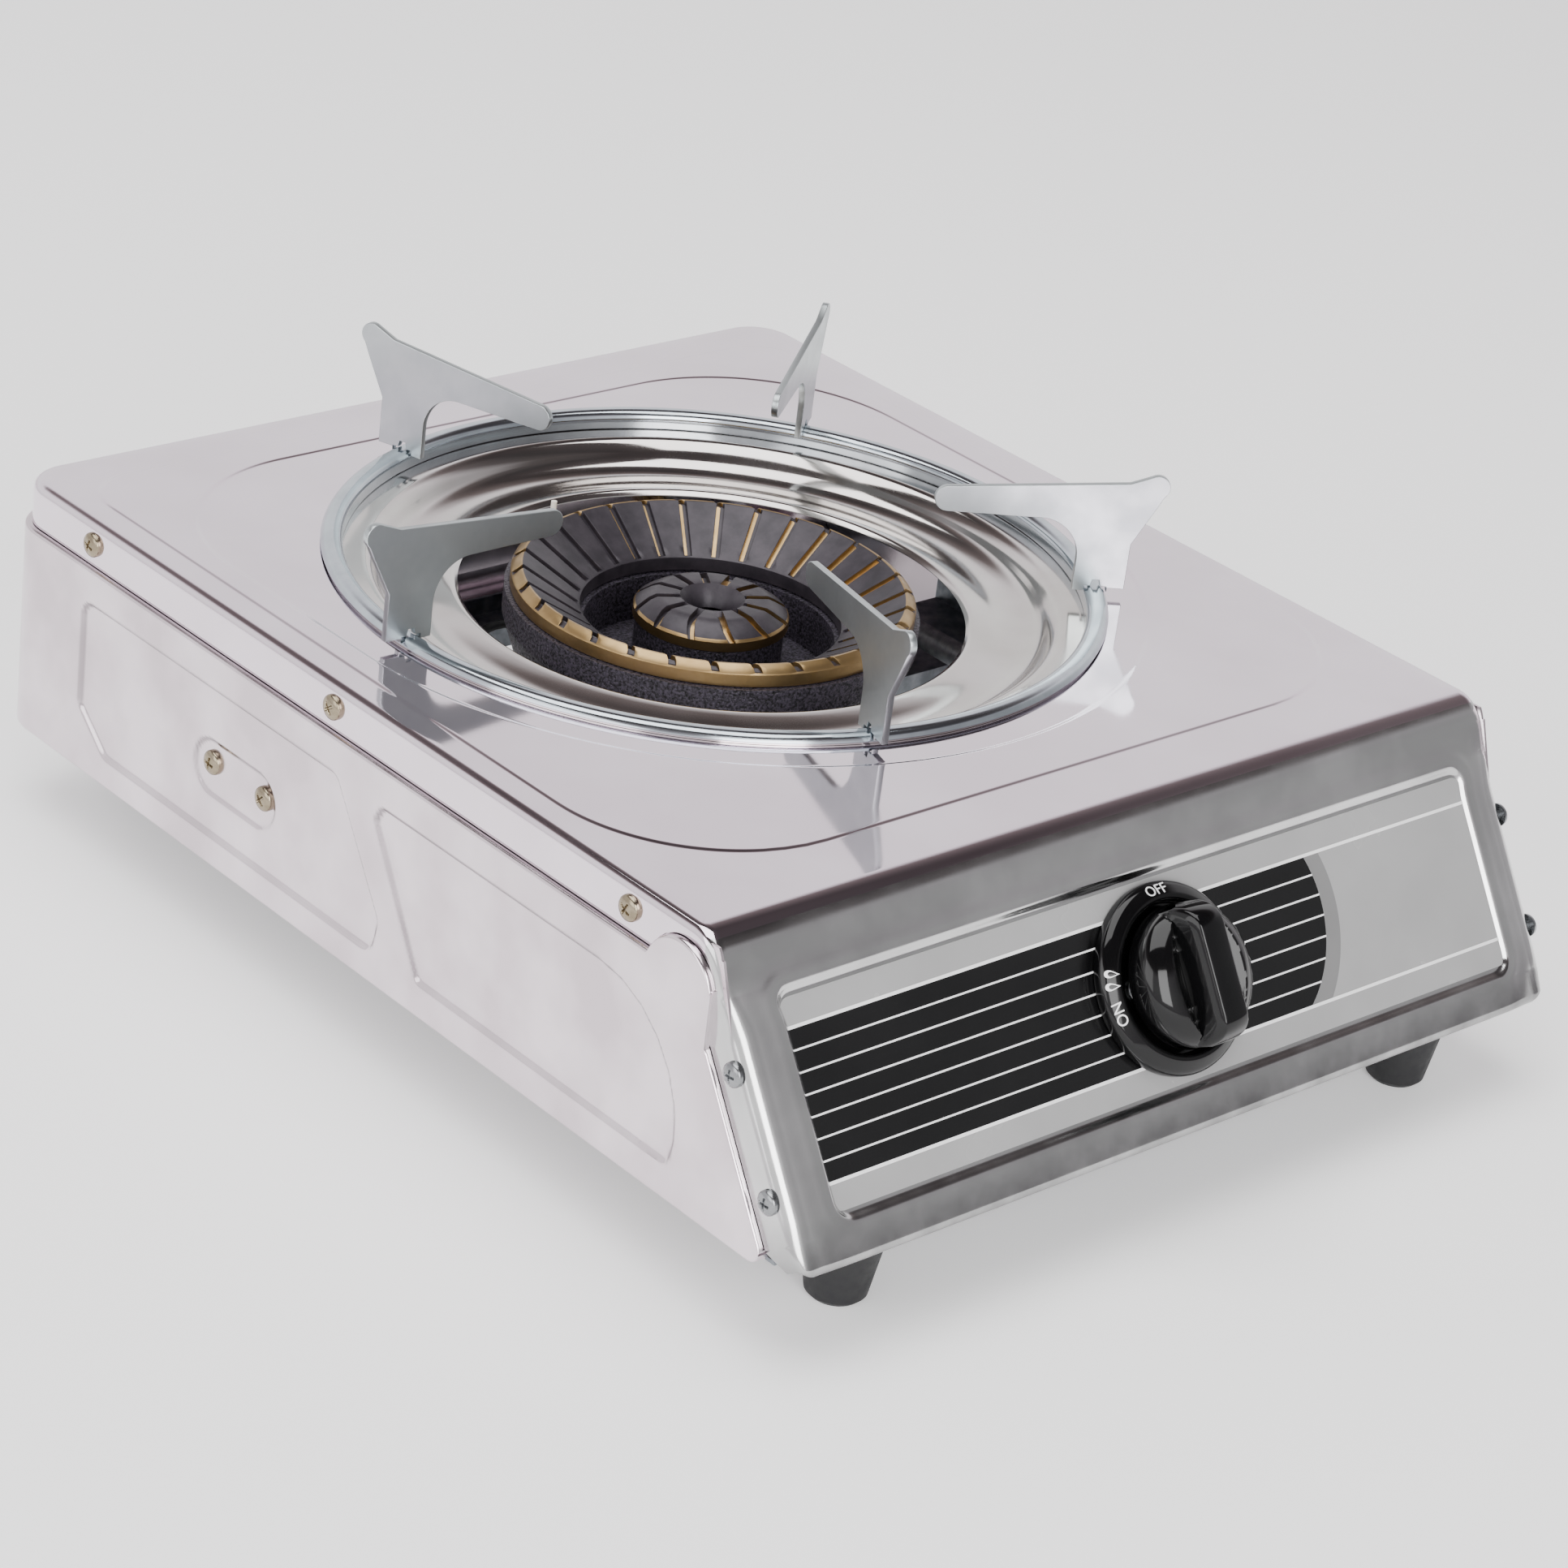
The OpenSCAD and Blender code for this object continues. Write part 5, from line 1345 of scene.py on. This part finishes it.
# %% White rules from a tree
def rules_tree():
    """One bar on every point, stretched to the length and width that the point carries."""
    tree, inputs = open_tree("rules_on_points", [
        ("Bar", "NodeSocketObject", None), ("Finish", "NodeSocketMaterial", None)])
    real = copies_on(tree, inputs["Geometry"], object_info(tree, inputs["Bar"]),
                     Scale=named_value(tree, "FLOAT_VECTOR", "size"))
    close_tree(tree, painted(tree, real, inputs["Finish"]))
    return tree


rules_on_points = rules_tree()
WIDE_RULE, THIN_RULE = 0.9, 0.5
unit_bar = flat_on_slope("bar", [(-0.5, -0.5), (0.5, -0.5), (0.5, 0.5), (-0.5, 0.5)], 0, INK)
unit_bar.data.transform(Matrix.Translation((0, -bend_y * MM, -deck_z * MM)))
unit_bar.data.transform(Matrix.Rotation(-(math.pi / 2 - LEAN), 4, "X"))
RULES, RULE_GAP = 8, 14.0
pitch = (BAND_BASE - BAND_TOP) / (RULES - 1)
spans = []
for k in range(RULES):
    down = BAND_TOP + pitch * k
    if k in (0, RULES - 1):
        spans.append((-LABEL_HALF, LABEL_HALF, down, WIDE_RULE))
    else:
        spans += [(-LABEL_HALF, -RULE_GAP, down, THIN_RULE),
                  (RULE_GAP, right_end(down, DISC_R), down, THIN_RULE)]
start = new_mesh("label_rules", [((a + b) / 2, -down, 0) for a, b, down, width in spans], [], (0, 0, 0))
start.data.attributes.new("size", "FLOAT_VECTOR", "POINT").data.foreach_set(
    "vector", np.array([(b - a, width, 1.0) for a, b, down, width in spans]).ravel())
rules = run_tree("label_rules", rules_on_points, {"Bar": unit_bar, "Finish": print_white}, start)
rules.data.transform(Matrix.Translation(Vector((0, bend_y, deck_z)) * MM)
                     @ Matrix.Rotation(math.pi / 2 - LEAN, 4, "X")
                     @ Matrix.Translation((0, 0, (LABEL_FACE + INK) * MM)))
bpy.data.objects.remove(unit_bar)
finish_piece(rules, "chassis", "label")

# %% [markdown]
# Knob and bezel are moulded in the same gloss black.  Both are drawn upright about their own axis
# and then laid on the slope.  The grip is a thick bar across the dome, rounded on every edge.

# %% Bezel
def lay_on_axis(made):
    """Moves a mesh drawn about Z, in metres, onto the knob's axis."""
    tilt = Matrix.Rotation(math.pi / 2 - LEAN, 4, "X")
    spot = Vector((0, bend_y - knob_down * SIN, deck_z - knob_down * COS)) * MM
    made.data.transform(Matrix.Translation(spot) @ tilt)
    return made


def upright_turned(name, section, sides):
    """A turned mesh about Z at the origin, in metres."""
    made = turned(name, section, sides)
    made.data.transform(Matrix.Translation((0, -bend_y * MM, 0)))
    return made


BEZEL_R, BORE = 26.4, 20.9
section = [(8.6, -0.8), (BEZEL_R, -0.8), (BEZEL_R, 2.0), (BEZEL_R - 0.9, 3.4), (BORE + 1.6, 5.0),
           (BORE + 0.5, 5.0), (BORE, 4.4), (BORE, 0.7), (8.6, 0.7)]
bezel = lay_on_axis(upright_turned("bezel_moulding", soften(section, 0.8, 4), 128))
finish_piece(bezel, "chassis", "gloss_black", "knob_bezel", finish=abs_black)

# %% Knob
KNOB_R, KNOB_BASE, KNOB_SIDE, CROWN, RIDGE = 19.6, 5.2, 10.0, 18.2, 22.6
RIDGE_HALF, GROOVE = 4.0, 7.0
KNOB_WALL, KNOB_HUB, STEM_BORE, STEM_TOP = 2.0, 7.0, 4.05, 17.2


def knob_face(x, y):
    """Height of the knob's face: a dome, a leaf-shaped scoop on each side, and the ridge."""
    r = np.hypot(x, y)
    dome = KNOB_SIDE + (CROWN - KNOB_SIDE) * np.sqrt(np.clip(1 - (r / KNOB_R) ** 2.6, 0, 1))
    leaf = 12.4 * np.sqrt(np.clip(1 - (y / (KNOB_R * 0.93)) ** 2, 0, 1))
    floor_z = dome - 4.6 * np.clip(1 - (y / (KNOB_R * 0.93)) ** 2, 0, 1)
    share = np.clip((np.abs(x) - GROOVE) / np.maximum(leaf - GROOVE, 0.3), 0, 1)
    scoop = np.where(np.abs(x) < leaf, floor_z + (dome - floor_z) * share ** 1.3, dome)
    end = np.clip((np.abs(y) - 11) / (KNOB_R - 11), 0, 1)
    top = RIDGE - (RIDGE - KNOB_SIDE) * (1 - np.sqrt(np.clip(1 - end ** 2.8, 0, 1)))
    flank = np.clip((np.abs(x) - RIDGE_HALF) / (GROOVE - RIDGE_HALF), 0, 1)
    ridge = top - 0.5 * (np.clip(np.abs(x) / RIDGE_HALF, 0, 1)) ** 2 - (top - floor_z) * flank ** 1.6
    return np.where(np.abs(x) < GROOVE, np.maximum(ridge, np.minimum(scoop, floor_z)), scoop)


def knob_grid():
    """A square grid squeezed into a circle, so that the ridge keeps straight lines."""
    n = 97
    u = np.linspace(-1, 1, n)
    u = np.sign(u) * np.abs(u) ** 1.15
    gx, gy = np.meshgrid(u, u)
    x = KNOB_R * gx * np.sqrt(1 - gy ** 2 / 2)
    y = KNOB_R * gy * np.sqrt(1 - gx ** 2 / 2)
    top = np.stack([x, y, knob_face(x, y)], -1)
    rim = np.concatenate([top[0, :-1], top[:-1, -1], top[-1, :0:-1], top[:0:-1, 0]])
    hollow = KNOB_SIDE - 1
    path = [(KNOB_R, KNOB_SIDE), (KNOB_R, KNOB_BASE + 0.6), (KNOB_R - 0.6, KNOB_BASE),
            (KNOB_R - KNOB_WALL, KNOB_BASE), (KNOB_R - KNOB_WALL, hollow), (KNOB_HUB, hollow),
            (KNOB_HUB, KNOB_BASE), (STEM_BORE, KNOB_BASE), (STEM_BORE, STEM_TOP), (0.2, STEM_TOP)]
    skirt = np.array([rim * [r / KNOB_R, r / KNOB_R, 0] + [0, 0, z] for r, z in path])
    return top, skirt


knob_top, knob_skirt = knob_grid()
knob = join_grids("knob_moulding", [(knob_top, False), (knob_skirt, True)])
knob.data.transform(Matrix.Translation((0, -bend_y * MM, 0)))
tidy_mesh(knob, 1e-6, sharp=50)
lay_on_axis(knob)
finish_piece(knob, "knob_turn", "gloss_black", "knob", finish=abs_black)

# %% [markdown]
# Behind the knob a spring pushes it out.  It is a copy of its imported part, with a mesh of its
# own.

# %% Return spring
spring = loose_copy("return_spring", "return_spring_coiled")
finish_piece(spring, "chassis", "zinc", "return_spring", finish=screw_zinc)
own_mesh(spring)

# %% [markdown]
# The bezel carries the usual marks for off, on and a flame.  They are thin raised shapes in white.

# %% Marks on the bezel
def bezel_text(name, words, angle, size):
    """Words printed round the bezel, their tops outwards."""
    curve = bpy.data.curves.new(name, "FONT")
    curve.body = words
    curve.size = size * MM
    curve.extrude = 0.05 * MM
    curve.align_x = "CENTER"
    curve.align_y = "CENTER"
    made = add_object(name, curve)
    bpy.context.view_layer.update()
    mesh = bpy.data.meshes.new_from_object(made.evaluated_get(bpy.context.evaluated_depsgraph_get()))
    bpy.data.objects.remove(made)
    bpy.data.curves.remove(curve)
    return stand_on_bezel(add_object(name, mesh), angle)


def stand_on_bezel(made, angle):
    """Puts a flat mark on the sloping face of the bezel at an angle from twelve o'clock."""
    slope = math.atan2(1.6, 3.0)
    middle_r, middle_h = 24.0, 4.24
    made.data.transform(Matrix.Rotation(angle, 4, "Z") @ Matrix.Translation((0, middle_r * MM, middle_h * MM))
                        @ Matrix.Rotation(-slope, 4, "X"))
    lay_on_axis(made)
    made.data.materials.clear()
    return finish_piece(made, "chassis", "label", finish=print_white)


def flame_mark(name, angle, scale):
    """A drop outline: a ring between two drop shapes."""
    t = np.linspace(0, 2 * math.pi, 32, endpoint=False)
    x, y = 0.75 * np.sin(t) * np.sin(t / 2) ** 1.6, -np.cos(t)
    outer = np.stack([x * 1.25 * scale, y * 1.35 * scale, np.full(32, 0.05)], -1)
    inner = np.stack([x * 0.75 * scale, (y * 0.85 - 0.12) * scale, np.full(32, 0.05)], -1)
    low_out, low_in = outer - [0, 0, 0.1], inner - [0, 0, 0.1]
    rings = [outer, inner, low_in, low_out, outer]
    made = new_mesh(name, rings, sheet_faces(len(rings), len(t), True), (0, 0, 0))
    return stand_on_bezel(tidy_mesh(made, 1e-8), angle)


bezel_text("mark_off", "OFF", 0.0, 4.3)
bezel_text("mark_on", "ON", math.radians(100), 4.3)
flame_mark("mark_flame_high", math.radians(82), 1.6)
flame_mark("mark_flame_low", math.radians(74), 1.6)

# %% [markdown]
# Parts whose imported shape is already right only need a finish.

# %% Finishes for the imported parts
DRESS = {
    "rear_panel": wall_steel, "front_foot_rail": galvanised, "rear_foot_rail": galvanised,
    "foot_front_left": rubber, "foot_front_right": rubber,
    "foot_rear_left": rubber, "foot_rear_right": rubber,
    "foot_screws": screw_zinc, "burner_casting": cast_iron,
    "burner_screw": screw_zinc, "valve_body": valve_metal, "valve_screws": screw_zinc, "outer_jet": brass,
    "inner_jet": brass, "outer_air_shutter": galvanised, "inner_air_shutter": galvanised,
    "piezo_igniter": abs_black, "ignition_lead": rubber, "electrode_clip": galvanised,
    "spark_electrode": ceramic, "gas_pipe": valve_metal, "hose_nozzle": brass, "nozzle_nut": brass,
    "thrust_washer": screw_zinc, "valve_stem": brass,
}
for node, finish in DRESS.items():
    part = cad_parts[node]
    part.data.materials.clear()
    part.data.materials.append(finish)
bpy.data.objects.remove(dome_screw)
print(len(DRESS), "packed parts dressed")

# %% [markdown]
# Polished metal shows the room more than itself, so the room matters: a pale floor, a broad white
# ceiling, and a darker strip low in front that draws the shadow line along the front bend.

# %% Floor and light
FLOOR_HALF = 4000
floor_corners = [(x * FLOOR_HALF, y * FLOOR_HALF, 0) for x, y in ((-1, -1), (1, -1), (1, 1), (-1, 1))]
floor = new_mesh("floor", floor_corners, [(0, 1, 2, 3)])
floor.data.materials.append(new_finish("pale_floor", "#FCFCFC", 0.0, 0.9, Emission_Strength=0.30)[0])


def softbox(name, at, target, size, power):
    """A rectangular lamp that faces a point; sizes in metres, power in watts."""
    light = bpy.data.lights.new(name, "AREA")
    light.shape = "RECTANGLE"
    light.size, light.size_y = size
    light.energy = power
    facing_target = (Vector(target) - Vector(at)).to_track_quat("-Z", "Y").to_matrix().to_4x4()
    add_object(name, light).matrix_world = Matrix.Translation(Vector(at)) @ facing_target


softbox("ceiling", (-0.2, 0.2, 2.2), (0, 0, 0), (2.0, 2.0), 58)
softbox("left_fill", (-2.0, -0.3, 0.9), (0, 0, 0.05), (1.6, 1.2), 16)
softbox("front_strip", (-0.75, -1.65, 0.80), (0, -0.15, 0.05), (0.75, 1.2), 24)
world = bpy.data.worlds.new("studio")
bpy.context.scene.world = world
world.use_nodes = True
sky = world.node_tree
sky_way = add_node(sky, "ShaderNodeTexCoord").outputs["Generated"]
split = add_node(sky, "ShaderNodeSeparateXYZ", None, {"Vector": sky_way})
shade = add_node(sky, "ShaderNodeValToRGB", None, {"Fac": split.outputs["Z"]})
ramp = shade.color_ramp
stops = ((0.0, "#EFE9EE"), (0.30, "#FFFFFF"), (0.54, "#F7F2F6"),
         (0.64, "#6C6363"), (0.76, "#3E393A"), (1.0, "#565052"))
while len(ramp.elements) < len(stops):
    ramp.elements.new(0.5)
for stop, (position, colour) in zip(ramp.elements, stops):
    stop.position, stop.color = position, hex_colour(colour)
# the room is dimmer in front on the right, so that the front panel reads as grey metal
DIM_WAY = (0.66, -0.72, 0.20)
facing = add_node(sky, "ShaderNodeVectorMath", {"operation": "DOT_PRODUCT"}, {0: sky_way, 1: DIM_WAY})
dim = add_node(sky, "ShaderNodeMapRange", {"interpolation_type": "SMOOTHSTEP"},
               {"Value": facing.outputs["Value"], "From Min": 0.55, "From Max": 0.97,
                "To Min": 0.0, "To Max": 0.72})
room = add_node(sky, "ShaderNodeMix", {"data_type": "RGBA"},
                {0: dim.outputs["Result"], 6: shade.outputs["Color"], 7: hex_colour("#4A4A4C")})
sky.links.new(room.outputs[2], sky.nodes["Background"].inputs["Color"])
sky.nodes["Background"].inputs["Strength"].default_value = 1.5
